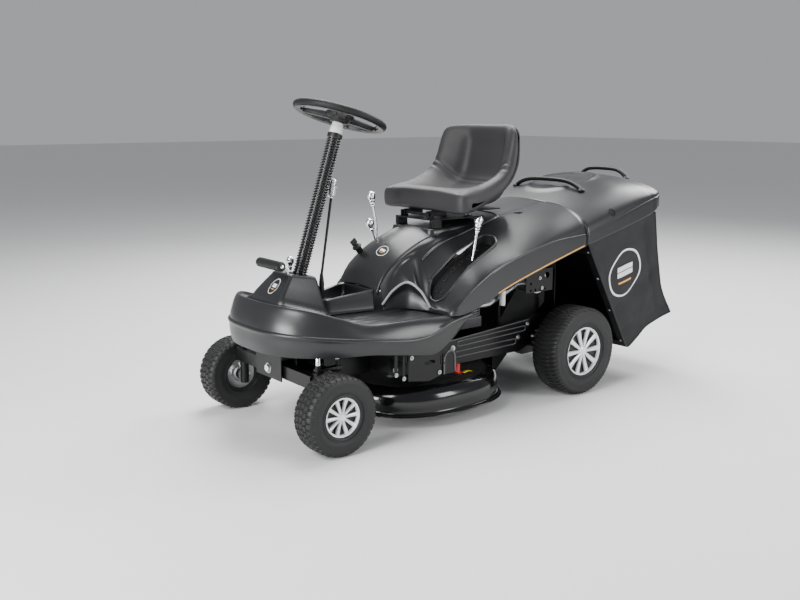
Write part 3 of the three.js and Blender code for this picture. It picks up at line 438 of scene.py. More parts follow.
def platform_part():
    places = [(HALF_WIDTH, y) for y in (-2, -12, -24)]
    places += [edge_place(a) for a in np.linspace(0.02, math.pi / 2, 84)]
    rows = []
    for x, y in places:
        column = platform_column(x, y)
        inner = column[-1]
        centre_y = max(y, NOSE_Y + 70)
        for t in np.linspace(0.04, 1, 26):
            px, py = inner[0] * (1 - t), lerp(inner[1], centre_y, t)
            z = along(FLOOR, py)
            tread = abs((px % 34) - 17) < 9 and 120 < px < 268 and -420 < py < -118
            taper = max(0.0, min(1.0, (px - 118) / 10, (270 - px) / 10, (py + 424) / 14, (-112 - py) / 14))
            column.append((px, py, z + (2.6 * taper if tread else 0)))
        rows.append(column)
    return grid(rows)


platform_half = platform_part()
piece("platform_shell", *both(platform_half), BODY, "chassis", ["front_platform"], thick=3.5, sharp=50)


# ---------- steering pedestal ----------
def rounded_ring(hx, y0, y1, z0, z1, radius, count=9):
    """A rounded rectangle in plan whose height runs from z0 at its front to z1 at its rear."""
    points = []
    for cx, cy, start in ((hx - radius, y1 - radius, 0), (-hx + radius, y1 - radius, 90),
                          (-hx + radius, y0 + radius, 180), (hx - radius, y0 + radius, 270)):
        for a in np.radians(np.linspace(start, start + 90, count)):
            y = cy + radius * math.sin(a)
            points.append((cx + radius * math.cos(a), y, lerp(z0, z1, (y - y0) / (y1 - y0))))
    return points


pedestal_rings = [
    rounded_ring(112, -618, -404, 440, 376, 26), rounded_ring(100, -606, -408, 447, 384, 24),
    rounded_ring(91, -596, -411, 456, 394, 20), rounded_ring(84, -587, -414, 468, 410, 16),
    rounded_ring(70, -561, -423, 497, 460, 14), rounded_ring(60, -540, -431, 518, 498, 12),
    rounded_ring(57, -536, -434, 524, 507, 11), rounded_ring(52, -531, -439, 526.5, 510.5, 10),
    rounded_ring(36, -512, -455, 524.5, 511.5, 12),
]
pedestal_part = grid(pedestal_rings, wrap_cols=True)
piece("pedestal_shell", *pedestal_part, BODY, "chassis", ["steering_pedestal"], thick=3.0, sharp=60)
pedestal_surface = surface_of(pedestal_part)

# ---------- centre tunnel with its tray ----------
tunnel_rings = []
for grow, drop in ((7, 380), (3, 384), (1, 392), (0, 412), (-1, 424), (-4, 427), (-9, 427), (-13, 424),
                   (-15, 416), (-17, 408), (-24, 404), (-40, 403)):
    ring = []
    rear = -226 + min(0, grow + 5)
    corners = [(62 + grow, -409 - grow), (96 + grow, rear), (-96 - grow, rear), (-62 - grow, -409 - grow)]
    for i in range(4):
        (x0, y0), (x1, y1) = corners[i], corners[(i + 1) % 4]
        for t in np.linspace(0.04, 0.96, 12):
            x, y = lerp(x0, x1, t), lerp(y0, y1, t)
            rise = 23 * max(0, (y + 409) / 183) if drop > 404 else 0
            ring.append((x, y, drop + rise * min(1, (drop - 404) / 20)))
    tunnel_rings.append(ring)
tunnel_part = grid(tunnel_rings, wrap_cols=True)
tunnel_points, tunnel_faces = tunnel_part
count = len(tunnel_rings[0])
last = len(tunnel_points) - count
tunnel_faces.append(tuple(range(last, last + count)))
piece("tunnel_tray", tunnel_points, tunnel_faces, BODY, "chassis", ["centre_tunnel"], sharp=40)

# ---------- hood ----------
GROOVE_X = 116.0
HOOD_ROWS = np.array([
    # start y, start z, end x, end y, end z, wall z, powers p and q of the falling curve
    [-220, 462, 119, -214, 400, 379, 1, 1], [-190, 508, 132, -178, 446, 379, 1, 1],
    [-150, 542, 160, -140, 474, 379, 1, 1.1], [-110, 567, 205, -117, 448, 379, 1, 1.5],
    [-75, 585, 240, -104, 396, 379, 1, 1.9], [-45, 600, 290, -97, 391, 379, 1, 2.05],
    [-20, 609, 336, -86, 395, 379, 1, 2.1], [12, 618, 341, -35, 434, 381, 1, 1.9],
    [55, 628, 341, 25, 476, 396, 1, 1.7], [120, 634, 341, 110, 520, 428, 1, 1.4],
    [220, 650, 341, 220, 556, 464, 1.2, 1], [390, 678, 340, 390, 590, 513, 1.7, 0.65],
    [556, 705, 338, 556, 602, 556, 2.1, 0.48],
])
ROW_STEPS = 12
HOOD_FULL = 7  # rows from here on reach the middle
ACROSS = 1 - (1 - np.linspace(0, 1, 46)) ** 1.5


def falling(row, u):
    return lerp(row[4], row[1], (1 - u ** row[6]) ** row[7])


def hood_half():
    rows = spline(HOOD_ROWS, ROW_STEPS)
    rows[:, 2] = np.minimum(rows[:, 2], 341.5)
    flank, crown = [], []
    for i, row in enumerate(rows):
        niche = max(0.0, min(1.0, (4.6 * ROW_STEPS - i) / (0.8 * ROW_STEPS)))
        points = []
        for u in ACROSS:
            x, y, z = lerp(GROOVE_X, row[2], u), lerp(row[0], row[3], u), falling(row, u)
            groove = math.exp(-((x - GROOVE_X - 5) / 5.5) ** 2)
            points.append((x, y, z - 9 * groove * min(1, i / 8)))
        x, y, z, foot = row[2], row[3], row[4], row[5]
        for down, out in ((0.4, 2.4), (1.6, 3.8), (7, 4.0)):
            points.append((x + out * (1 - niche), y, z - down * min(1, (z - foot) / 14)))
        for t in (0.15, 0.35, 0.6, 0.85, 0.97, 1.0):
            inset = niche * (15 * math.sin(math.pi * min(1, t * 1.15 + 0.1)) ** 0.5 if t < 0.78 else 9)
            points.append((x + 4 * (1 - niche) - 0.576 * inset, y + 0.818 * inset,
                           lerp(z - 7 * min(1, (z - foot) / 14), foot, t)))
        flank.append(points)
        if i >= HOOD_FULL * ROW_STEPS:
            line = []
            for t in np.linspace(0, 1, 10):
                line.append((GROOVE_X * t, row[0],
                             row[1] + 6 * (1 - t * t) - (9 * math.exp(-(5 / 5.5) ** 2) * t ** 8)))
            crown.append(line)
    return merged(grid(flank), grid(crown))


hood_part = both(hood_half())
hood_surface = surface_of(hood_part)
hood = piece("hood_shell", *hood_part, BODY, "chassis", ["hood"], thick=3.0, sharp=50)


def stadium(cx, y0, y1, radius, count=40):
    """A slot with round ends, as points in plan."""
    points = []
    for a in np.linspace(0, 2 * math.pi, count, endpoint=False):
        end = y1 - radius if math.sin(a) >= 0 else y0 + radius
        points.append((cx + radius * math.cos(a) * (1 - 0.0004 * (end - y0)), end + radius * math.sin(a),
                       0.0))
    return points


SLOT = stadium(221, -82, 200, 36, 72)


def cut(target, outline, low, high, name):
    """Cuts a straight-walled hole of this outline through a piece."""
    points = [(x, y, low) for x, y, _ in outline] + [(x, y, high) for x, y, _ in outline]
    n = len(outline)
    faces = [(i, (i + 1) % n, n + (i + 1) % n, n + i) for i in range(n)]
    faces += [tuple(range(n - 1, -1, -1)), tuple(range(n, 2 * n))]
    mesh = bpy.data.meshes.new(name)
    mesh.from_pydata([tuple(p) for p in metres(points)], [], faces)
    cutter = bpy.data.objects.new(name, mesh)
    bpy.context.scene.collection.objects.link(cutter)
    m = target.modifiers.new(name, "BOOLEAN")
    m.operation = "DIFFERENCE"
    m.object = cutter
    m.solver = "EXACT"
    bpy.context.view_layer.update()
    depsgraph = bpy.context.evaluated_depsgraph_get()
    made = bpy.data.meshes.new_from_object(target.evaluated_get(depsgraph))
    target.modifiers.clear()
    target.data = made
    bpy.data.objects.remove(cutter)


cut(hood, SLOT, 380, 700, "slot_cutter")


def draped_bead(name, surface, path, radius, mat, body, lift=0.0, closed=False, steps=4, flat=0.6,
                direction=(0, 0, -1)):
    line = spline(path, steps, closed)
    line = drape(surface, line, lift, direction)
    return piece(name, *tube(line, radius, 10, 1, closed, smooth=False, flat=flat), mat, body, sharp=60)


draped_bead("slot_lip", hood_surface, SLOT, 5.0, BODY, "chassis", lift=1.0, closed=True, steps=2, flat=0.8)
# The slot wall takes the darker plastic, painted shade inside the slot.
slot_edge = drape(hood_surface, SLOT, -1.0)
slot_walls = [slot_edge, slot_edge - (0, 0, 10), slot_edge - (0, 0, 34)]
piece("slot_wall", *grid(slot_walls, wrap_cols=True), PAINTED_RECESS_SHADE, "chassis", sharp=60)
# The arch bead takes the lighter plastic, a painted highlight along the arch's rounded edge.
arch = spline(HOOD_ROWS[:5, 2:5], 8)
piece("arch_bead", *both(tube(arch + (0, 0, -1.5), 4.4, 12, 1, smooth=False)), PAINTED_EDGE_HIGHLIGHT, "chassis", sharp=60)
seat_bead = [(140, -60, 0), (141, 40, 0), (140, 140, 0), (138, 240, 0), (128, 300, 0), (100, 326, 0),
             (40, 332, 0),
             (-40, 332, 0), (-100, 326, 0), (-128, 300, 0), (-138, 240, 0), (-140, 140, 0), (-141, 40, 0),
             (-140, -60, 0)]
draped_bead("seat_surround_bead", hood_surface, seat_bead, 6.5, BODY, "chassis", lift=-1.0, steps=6, flat=0.7)


def ribbon(name, surface, path, width, mat, body, lift=0.5, steps=8, direction=(0, 0, -1), across=(0, 0, 1)):
    """A thin printed line laid on a surface."""
    line = spline(path, steps)
    side = np.array(across, float) * width / 2
    rows = [drape(surface, line - side, lift, direction), drape(surface, line + side, lift, direction)]
    return piece(name, *grid(rows), mat, body, sharp=60)


for side, sign in (("left", 1), ("right", -1)):
    path = [(sign * 345, y, z) for y, z in ((112, 434), (189, 461), (311, 497), (438, 531), (545, 559))]
    ribbon(side + "_stripe", hood_surface, path, 4.2, ORANGE, "chassis", 0.6, direction=(-sign, 0, 0))

# ---------- detent plate under the lever slot ----------
# The plate takes the darker plastic, painted shade at the bottom of the slot.
plate_rows = []
for y in np.linspace(-86, 208, 32):
    line = [(x, y, 0) for x in np.linspace(176, 262, 8)]
    plate_rows.append(drape(hood_surface, line) - (0, 0, 34))
plate_part = grid(plate_rows)
piece("detent_plate", *plate_part, PAINTED_RECESS_SHADE, "chassis", ["height_quadrant"], thick=2, sharp=60)
plate_surface = surface_of(plate_part)
for i in range(6):
    y = -40 + 36 * i
    ring = [(200 + 7 * math.cos(a), y + 8 * math.sin(a), 0) for a in np.linspace(0, 2 * math.pi, 20,
        endpoint=False)]
    draped_bead("detent_%d" % (i + 1), plate_surface, ring, 1.8, TRIM, "chassis", 0.4, True, 1, 1.0)
draped_bead("lever_track", plate_surface, stadium(214, -38, 182, 8, 40), 1.6, TRIM, "chassis", 0.4, True, 1,
            1.0)

# ---------- console panel ----------
CONSOLE_PROFILE = [[-232, 444], [-218, 472], [-203, 495], [-168, 530], [-123, 562], [-62, 593], [-20, 609],
                   [8, 617]]
console_rows = []
for i, (y, z) in enumerate(spline(CONSOLE_PROFILE, 6)):
    crown = 27 * min(1, 0.3 + i / 10)
    line = [(112, y + 5, z - 14), (112, y + 2, z - 5), (110.5, y + 0.5, z - 1.2)]
    line += [(u * 108, y, z + crown * (1 - u * u)) for u in np.linspace(1, -1, 21)]
    line += [(-110.5, y + 0.5, z - 1.2), (-112, y + 2, z - 5), (-112, y + 5, z - 14)]
    console_rows.append(line)
console_part = grid(console_rows)
piece("console_shell", *console_part, BODY, "chassis", ["console_panel"], thick=3, sharp=45)
console_surface = surface_of(console_part)


# ---------- plain printed marks ----------
def mark(name, place, size, body):
    """A plain ring with two short bars inside, printed on a panel. place(u, v) gives the point at -1..1."""
    def strip(a, b, width):
        out = []
        d = np.array(b, float) - np.array(a, float)
        n = np.array([-d[1], d[0]]) / (np.hypot(*d) or 1) * width / 2
        for t in np.linspace(0, 1, 7):
            c = np.array(a) + d * t
            out.append([place(*(c - n) * size), place(*(c + n) * size)])
        return grid(out)

    ring = []
    for a in np.linspace(0, 2 * math.pi, 41):
        c, s = math.cos(a), math.sin(a)
        ring.append([place(0.92 * c * size, 0.92 * s * size), place(c * size, s * size)])
    bars = [strip((-0.5, 0.22), (0.5, 0.22), 0.2), strip((-0.5, -0.02), (0.5, -0.02), 0.2)]
    piece(name, *merged(grid(ring), *bars), PRINT, body, sharp=60)
    piece(name + "_underline", *strip((-0.42, -0.36), (0.42, -0.36), 0.08), ORANGE, body, sharp=60)


def console_place(u, v):
    return drape(console_surface, [(u + 36, -150 + v * 0.75, 0)], 0.5)[0]


def pedestal_place(u, v):
    return drape(pedestal_surface, [(u + 14, 0, 487 + v)], 0.5, (0, 1, 0))[0]


mark("console_mark", console_place, 25.0, "chassis")
mark("pedestal_mark", pedestal_place, 22.0, "chassis")

# ---------- collector lid ----------
LID_ROWS = np.array([
    [562, 706, 338, 562, 604, 560, 2.1, 0.48], [680, 748, 338, 700, 645, 592, 2.1, 0.5],
    [790, 781, 337, 830, 684, 624, 2, 0.55], [860, 789, 335, 930, 712, 650, 2, 0.6],
    [885, 790, 330, 976, 722, 672, 2, 0.65], [905, 791, 300, 1013, 734, 682, 2, 0.7],
    [920, 791, 190, 1050, 750, 700, 2, 0.8], [935, 791, 90, 1076, 758, 710, 2, 0.85],
    [945, 791, 0, 1086, 760, 712, 2, 0.85],
])


def lid_half():
    rows = spline(LID_ROWS, 12)
    out = []
    for i, row in enumerate(rows):
        x1, y1 = max(0.0, row[2]), row[3]
        if i > 36:
            x1 = min(x1, 334)
        points = []
        for u in ACROSS:
            x, y, z = lerp(0, x1, u), lerp(row[0], y1, u), falling(row, u)
            oval = math.hypot(x / 128, (y - 790) / 150)
            emboss = 7 / (1 + math.exp((oval - 1) * 30)) - 9 / (1 + math.exp((oval - 0.86) * 34))
            points.append((x, y, z + emboss))
        z, foot = row[4], row[5]
        side = 1.0 if i <= 48 else max(0.0, 1 - (i - 48) / 40)
        back = 1 - side
        for down, out_by in ((0.5, 0.3), (1.5, 0.5), (4, 0.6), (5, 1.4), (5.8, 3.6), (7, 4.4), (9, 4.8)):
            points.append((x1 + out_by * side, y1 + out_by * back, z - down))
        for t in (0.2, 0.5, 0.8, 0.95, 1.0):
            points.append((x1 + 4.6 * side, y1 + 4.6 * back, lerp(z - 9, foot, t)))
        out.append(points)
    return grid(out)


lid_part = both(lid_half())
lid_surface = surface_of(lid_part)
piece("lid_shell", *lid_part, BODY, "collector", ["collector_lid"], thick=3, sharp=50)
for side, sign in (("left", 1), ("right", -1)):
    # Each lid slot takes the darker plastic, painted shade in its shallow hollow.
    slot_rows = []
    for scale, lift in ((1, 0.3), (0.88, 2.0), (0.76, 1.2), (0.4, 0.8), (0.03, 0.8)):
        ring = [(sign * 345, 709 + 13 * scale * math.cos(a), 669 + 15 * scale * math.sin(sign * a))
                for a in np.linspace(0, 2 * math.pi, 24, endpoint=False)]
        slot_rows.append(drape(lid_surface, ring, lift, (-sign, 0, 0)))
    piece(side + "_lid_slot", *grid(slot_rows, wrap_cols=True), PAINTED_RECESS_SHADE, "collector", sharp=70)
    screw = drape(hood_surface, [(sign * 148, 395, 0)], 0.0)[0]
    dimple = [[screw + (r * math.cos(a), r * math.sin(a), h) for a in np.linspace(0, 2 * math.pi, 20,
        endpoint=False)]
              for r, h in ((17, 0.6), (15, 1.6), (12, 0.8), (9, -1.5), (0.5, -2))]
    piece(side + "_hood_dimple", *grid(dimple, wrap_cols=True), BODY, "chassis", sharp=70)


def lid_bail(name, node, half_span, y, foot, rise):
    path = [(-half_span, y, foot - 4), (-half_span + 8, y, foot + rise * 0.5),
            (-half_span * 0.6, y, foot + rise),
            (0, y, foot + rise * 1.1), (half_span * 0.6, y, foot + rise),
            (half_span - 8, y, foot + rise * 0.5),
            (half_span, y, foot - 4)]
    feet = [moved(lathe([[0.1, 0], [13, 0], [15, 4], [12, 9], [8, 12], [0.1, 12]], 20),
                  drape(lid_surface, [(s * half_span, y, 0)], -1)[0])
            for s in (1, -1)]
    piece(name, *merged(tube(path, 8.2, 16, 8), *feet), TRIM, "collector", [node], sharp=50)


lid_bail("front_bail", "lid_front_handle", 176, 706, 722, 50)
lid_bail("rear_bail", "lid_rear_handle", 122, 1040, 760, 44)

# ---------- grass bag ----------
BAG_FRONT = [(584, 556), (660, 426), (740, 286), (822, 141)]
BAG_REAR = [(972, 655), (988, 560), (994, 520), (1012, 440), (1033, 355), (1062, 300), (1087, 264),
            (1107, 236)]
BAG_BOTTOM = [(822, 141), (846, 131), (901, 164), (949, 196), (1012, 216), (1062, 228), (1107, 236)]
BAG_TOP = [(584, 556), (700, 588), (840, 620), (972, 655)]


def resample(points, count):
    p = spline(points, 12)
    d = np.r_[0, np.cumsum(np.linalg.norm(np.diff(p, axis=0), axis=1))]
    return np.stack([np.interp(np.linspace(0, d[-1], count), d, p[:, k]) for k in range(p.shape[1])], axis=-1)


def folds(y, z):
    """How far the cloth hangs in from its frame at one place on the side."""
    corner = math.exp(-(((y - 1080) / 70) ** 2 + ((z - 262) / 60) ** 2))
    drape_1 = math.exp(-((z - 300 - 0.55 * (y - 800)) / 34) ** 2)
    drape_2 = math.exp(-((z - 205 - 0.25 * (y - 860)) / 22) ** 2)
    drape_3 = math.exp(-((y - 960 - 0.15 * (z - 400)) / 18) ** 2)
    tall = math.exp(-((y - 1010 + 0.28 * (z - 300)) / 14) ** 2)
    wave = math.sin(y * 0.043 + z * 0.021) + 0.6 * math.sin(z * 0.061 - y * 0.017)
    return 6 + 8 * drape_1 + 7 * drape_2 - 4 * drape_3 + 7 * tall + 8 * corner + 2.4 * wave


def bag_side(n=44):
    front, rear = resample(BAG_FRONT, n), resample(BAG_REAR, n)
    top, bottom = resample(BAG_TOP, n), resample(BAG_BOTTOM, n)
    rows = []
    for i, t in enumerate(np.linspace(0, 1, n)):
        line = []
        for j, s in enumerate(np.linspace(0, 1, n)):
            p = (1 - s) * front[i] + s * rear[i] + (1 - t) * top[j] + t * bottom[j]
            p -= ((1 - s) * (1 - t) * front[0] + s * (1 - t) * rear[0]
                  + (1 - s) * t * front[-1] + s * t * rear[-1])
            held = min(1.0, 9 * s, 9 * (1 - s), 7 * (1 - t), 9 * t + 0.15)
            line.append((327 - held * folds(p[0], p[1]), p[0], p[1]))
        rows.append(line)
    return grid(rows)


def bag_back():
    outline = np.vstack([resample(BAG_BOTTOM, 26), resample(BAG_REAR, 26)[::-1][1:]])
    rows = []
    for k, (y, z) in enumerate(outline):
        line = []
        for u in np.linspace(1, -1, 41):
            sag = (1 - u ** 4) * (5 + 3 * math.sin(u * 9 + k * 0.25) + 2.5 * math.sin(u * 4 - k * 0.4))
            inward = np.array([900 - y, 400 - z]) / math.hypot(900 - y, 400 - z)
            line.append((u * 327, y + inward[0] * sag, z + inward[1] * sag))
        rows.append(line)
    return grid(rows)


bag_part = merged(both(bag_side()), bag_back())
bag = piece("bag_cloth_shell", *bag_part, CLOTH, "collector", ["collector_bag"], sharp=55)
side_surface = surface_of(bag_side())


def seam(name, path, radius=2.6, steps=6):
    return piece(name, *both(tube(path, radius, 8, steps)), BINDING, "collector", sharp=60)


seam("bag_rear_binding", [(327, y, z) for y, z in BAG_REAR])
seam("bag_bottom_binding", [(327, y, z) for y, z in BAG_BOTTOM])


def bag_place(u, v):
    slope = 0.19
    y, z = 811 + u, 429 + v + slope * u
    return drape(side_surface, [(0, y, z)], 0.9, (-1, 0, 0))[0]


mark("bag_mark", bag_place, 92.0, "collector")

# ---------- collector frame: a slanted flat bar with rivets ----------
dressed("collector_frame", FRAME, "collector", 1.5)
slant_from, slant_to = np.array([590.0, 548.0]), np.array([824.0, 140.0])
rivets = []
for t in (0.04, 0.3, 0.62, 0.94):
    y, z = slant_from + (slant_to - slant_from) * t
    for sign in (1, -1):
        dome = lathe([[4.5, 0], [4.2, 1.2], [2.6, 2.4], [0.1, 2.8]], 14, aim((0, -0.867, -0.498)))
        rivets.append(moved(dome, (sign * 322, y - 8.5, z - 4)))
piece("frame_rivets", *merged(*rivets), STEEL, "collector", sharp=60)

# ---------- seat ----------
SEAT_SECTION = [
    # y, z round the outside of the middle of the seat, and y, z of the core behind each point
    [44, 722, 86, 728], [44, 752, 88, 734], [54, 770, 98, 734], [92, 777, 120, 730], [160, 769, 170, 726],
    [225, 762, 230, 725], [280, 768, 280, 731], [318, 786, 335, 745], [338, 822, 365, 815],
    [350, 868, 377, 865],
    [360, 920, 384, 915], [369, 968, 389, 955], [379, 988, 391, 965], [393, 994, 393, 967],
    [407, 986, 394, 963],
    [412, 965, 391, 950], [406, 915, 384, 905], [400, 865, 379, 855], [393, 810, 365, 805],
    [374, 750, 345, 760],
    [340, 718, 320, 738], [280, 704, 270, 725], [200, 701, 200, 724], [110, 698, 110, 724],
    [52, 698, 88, 722],
]
SEAT_SIDE = [
    # the same, at the bolsters along its sides
    [44, 714, 86, 722], [44, 746, 88, 730], [54, 764, 98, 732], [92, 774, 118, 732], [152, 784, 168, 742],
    [205, 802, 226, 765], [245, 822, 266, 795], [272, 850, 298, 830], [290, 885, 316, 868],
    [300, 918, 323, 900],
    [308, 945, 327, 925], [317, 972, 331, 950], [326, 986, 334, 960], [336, 991, 337, 962],
    [346, 984, 339, 959],
    [350, 965, 338, 945], [350, 915, 330, 905], [346, 862, 322, 862], [326, 818, 303, 825],
    [290, 780, 273, 795],
    [240, 748, 228, 768], [170, 717, 165, 742], [120, 699, 122, 726], [78, 692, 98, 718], [50, 694, 88, 716],
]
SEAT_STEPS = 8


def seat_half_width(k):
    """Half the width of the seat at a place along its section: cushion, then backrest."""
    return float(np.interp(k, [0, 3, 6, 8, 10, 12, 13, 14, 16, 18, 20, 22, 25],
                           [233, 234, 224, 213, 207, 194, 184, 194, 207, 213, 224, 233, 233]))


def seat_part():
    middle = spline(SEAT_SECTION, SEAT_STEPS, closed=True)
    flank = spline(SEAT_SIDE, SEAT_STEPS, closed=True)
    rows = []
    for u in np.sin(np.linspace(-1, 1, 73) * math.pi / 2):
        shrink = max(0.0, 1 - abs(u) ** 16) ** 0.5
        line = []
        for index in range(len(middle)):
            k = index / SEAT_STEPS
            x = u * seat_half_width(k)
            t = max(0.0, min(1.0, (abs(x) - 78) / 118))
            blend = t * t * (3 - 2 * t)
            y, z, cy, cz = lerp(middle[index], flank[index], blend)
            normal = np.array([y - cy, z - cz])
            normal /= np.hypot(*normal) or 1
            push = 0.0
            if 2.5 < k < 7:
                push -= 7 * math.exp(-((k - 4.6) / 1.2) ** 2) * math.exp(-(x / 120) ** 4)
            if 6.5 < k < 12.5:
                inside = 1 / (1 + math.exp((abs(x) - 104 - 10 * (12 - k) / 4) / 5))
                push -= 13 * inside / (1 + math.exp((k - 10.6) / 0.16)) / (1 + math.exp((7.4 - k) / 0.2))
            for where in (6.55, 7.15):
                push -= 4.6 * math.exp(-((k - where - 0.25 * (x / 200) ** 2) / 0.13) ** 2)
            if 0.5 < k < 4:
                push -= 5 * math.exp(-((abs(x) - 190) / 7) ** 2 - ((k - 2.6) / 0.5) ** 2)
            py, pz = np.array([cy, cz]) + (np.array([y - cy, z - cz]) + normal * push) * shrink
            line.append((x, py, pz))
        rows.append(line)
    return grid(rows, wrap_cols=True)


seat_shape = seat_part()
seat = piece("seat_cushion", *seat_shape, VINYL, "seat_unit", ["seat"], sharp=70, subdivide=1)

# ---------- steering column ----------
COLUMN_FOOT, COLUMN_HEAD = np.array([0.0, -467, 507]), np.array([0.0, -315, 968])
COLUMN_LENGTH = float(np.linalg.norm(COLUMN_HEAD - COLUMN_FOOT))
COLUMN_DIR = (COLUMN_HEAD - COLUMN_FOOT) / COLUMN_LENGTH
column_turn = aim(COLUMN_DIR)
RIBS = 54
bellows = [[13, -6], [24.5, -6]]
for i in range(RIBS):
    base = -4 + i * (COLUMN_LENGTH + 3) / RIBS
    pitch = (COLUMN_LENGTH + 3) / RIBS
    bellows += [[20.4, base], [20.6, base + pitch * 0.2], [24.4, base + pitch * 0.38],
                [24.8, base + pitch * 0.58],
                [24.0, base + pitch * 0.74], [20.8, base + pitch * 0.92]]
bellows += [[13, COLUMN_LENGTH]]
piece("column_gaiter", *lathe(bellows, 44, column_turn, COLUMN_FOOT), BELLOWS, "chassis",
      ["column_bellows"], sharp=70)
collar = [[12.2, 0.4], [20, 0.4], [21, 2], [21, 22], [19, 25], [19, 34], [18, 36.3], [12.2, 36.3]]
piece("column_bush", *lathe(collar, 40, column_turn, COLUMN_HEAD), WHITE, "chassis", ["column_collar"],
      sharp=40)
clamp = [[23, 0], [24.9, 0.5], [25.2, 3], [25.2, 11], [24.9, 13.5], [23, 14]]
piece("gaiter_clamp", *lathe(clamp, 40, column_turn, COLUMN_HEAD - 15 * COLUMN_DIR), TRIM, "chassis",
      sharp=40)
WHEEL_RADIUS = 145.0
wheel_at = COLUMN_HEAD + 40 * COLUMN_DIR
rim_section = [(14.2 * math.cos(a), 12.4 * math.sin(a) + 20) for a in np.linspace(0, 2 * math.pi, 20,
    endpoint=False)]
rim_rings = []
for a in np.linspace(0, 2 * math.pi, 96, endpoint=False):
    ring = []
    for k, (r, z) in enumerate(rim_section):
        finger = 0.9 * math.sin(a * 30) if z < 17 else 0
        rr = WHEEL_RADIUS + r + (finger if r < 4 else 0)
        ring.append((rr * math.cos(a), rr * math.sin(a), z))
    rim_rings.append(ring)
wheel_parts = [grid(rim_rings, wrap_rows=True, wrap_cols=True)]
cover = [[10.4, -3], [26, -3], [31, 0], [36, 8], [44, 13], [48, 22], [46, 28], [38, 33], [20, 36], [0.1, 37]]
wheel_parts.append(lathe(cover, 48, smooth_profile=3))
for degrees in (90, 210, 330):
    a = math.radians(degrees)
    rows = []
    for t in np.linspace(0, 1, 16):
        d = lerp(34, WHEEL_RADIUS - 4, t)
        w = 15 + 12 * (abs(t - 0.45) * 1.4) ** 2 + 6 * t ** 4
        low, high = lerp(6, 12, t), lerp(29, 27, t)
        section = [(w, low + 4), (w * 0.8, low), (-w * 0.8, low), (-w, low + 4), (-w, high - 5),
                   (-w * 0.75, high), (0, high + 1.5),
                   (w * 0.75, high), (w, high - 5)]
        rows.append([(d * math.cos(a) - s * math.sin(a), d * math.sin(a) + s * math.cos(a), z) for s,
                     z in section])
    wheel_parts.append(grid(rows, wrap_cols=True))
piece("wheel_rim_and_spokes", *moved(merged(*wheel_parts), wheel_at, column_turn), RUBBER, "steering",
      ["steering_wheel"], sharp=50)
clips = []
for degrees in range(15, 375, 30):
    a = math.radians(degrees)
    clip = block(-8, 8, WHEEL_RADIUS - 19, WHEEL_RADIUS - 9, 9.5, 16)
    clips.append(moved(clip, (0, 0, 0), Matrix.Rotation(a, 3, "Z")))
under_ring = []
for a in np.linspace(0, 2 * math.pi, 72, endpoint=False):
    under_ring.append([((WHEEL_RADIUS + r) * math.cos(a), (WHEEL_RADIUS + r) * math.sin(a), z)
                       for r, z in ((-14.6, 18), (-13, 10.5), (-4, 6.8), (6, 7.0), (4, 9), (-6, 11))])
under = merged(grid(under_ring, wrap_rows=True, wrap_cols=True), *clips)
piece("wheel_underside", *moved(under, wheel_at, column_turn), DISH, "steering", sharp=40)
dressed("steering_shaft", STEEL, "steering", 0.5)


# ---------- controls ----------
def ball_stack(scale=1.0):
    return np.array([[0.1, -17], [4.5, -17], [5, -12], [7, -9], [7.5, -7], [5.6, -5], [6.5, -2], [10.4, 3],
                     [11.8, 9], [11.6, 14],
                     [9.6, 19.5], [5.5, 23], [0.1, 24.3]]) * scale


def lever(name, node, foot, knee, top, knob, body, radius=4.0):
    d = np.array(top, float) - np.array(knee, float)
    d /= np.linalg.norm(d)
    bend = [foot, lerp(np.array(foot, float), np.array(knee, float), 0.6), knee,
            lerp(np.array(knee, float), np.array(top, float), 0.5), top]
    parts = [tube(bend, radius, 14, 6), lathe(knob, 32, aim(d), top, 2)]
    return piece(name, *merged(*parts), CHROME, body, [node], sharp=55)


knob_profile = np.array([[0.1, -6], [6.8, -6], [7.4, -2], [6.8, 0], [9.5, 4], [10.2, 8], [9.2, 10],
                         [11.4, 14], [12.4, 19], [11.6, 21],
                         [13.8, 26], [15.4, 33], [15.2, 41], [12.8, 48], [7.5, 52], [0.1, 53.5]])
lever("gear_stick", "gear_lever", (-110, -66, 552), (-109, -68, 640), (-110, -82, 712), knob_profile * 0.92,
      "gear_control")
lever("throttle_stick", "throttle_lever", (-84, -88, 552), (-84, -94, 590), (-84, -110, 638),
      ball_stack(1.25), "throttle_control")
height_top = np.array([214, 128, 632.0])
height_foot = np.array([214, 75, 345.0])
height_dir = (height_top - height_foot) / np.linalg.norm(height_top - height_foot)
height_parts = [tube([height_foot + 18 * height_dir, height_top], 5.4, 16, 2),
                lathe(knob_profile, 40, aim(height_dir), height_top, 2)]
boss = lathe([[0.1, -9], [12.5, -9], [14, -7.5], [14, 7.5], [12.5, 9], [0.1, 9]], 32, aim((1, 0, 0)),
             height_foot)
piece("height_stick", *merged(*height_parts, boss), CHROME, "height_control",
      ["height_lever", "height_lever_knob"], sharp=50)
grip_dir = np.array([0, 43, 257.0]) / np.hypot(43, 257)
grip = [[4.6, 0], [8.2, 0.5], [8.6, 3]]
for i in range(8):
    z = 5 + i * 6.6
    flare = 11.5 + 4.5 * math.sin(math.pi * (i + 1.5) / 10)
    grip += [[flare - 3.5, z], [flare, z + 1.6], [flare, z + 4.0], [flare - 3.5, z + 5.6]]
grip += [[11, 58], [8, 62.5], [0.1, 64]]
piece("blade_lever_knob", *lathe(grip, 32, aim(grip_dir), (0, -336, 757.4)), CHROME, "blade_control",
      ["blade_lever_grip"], sharp=40)
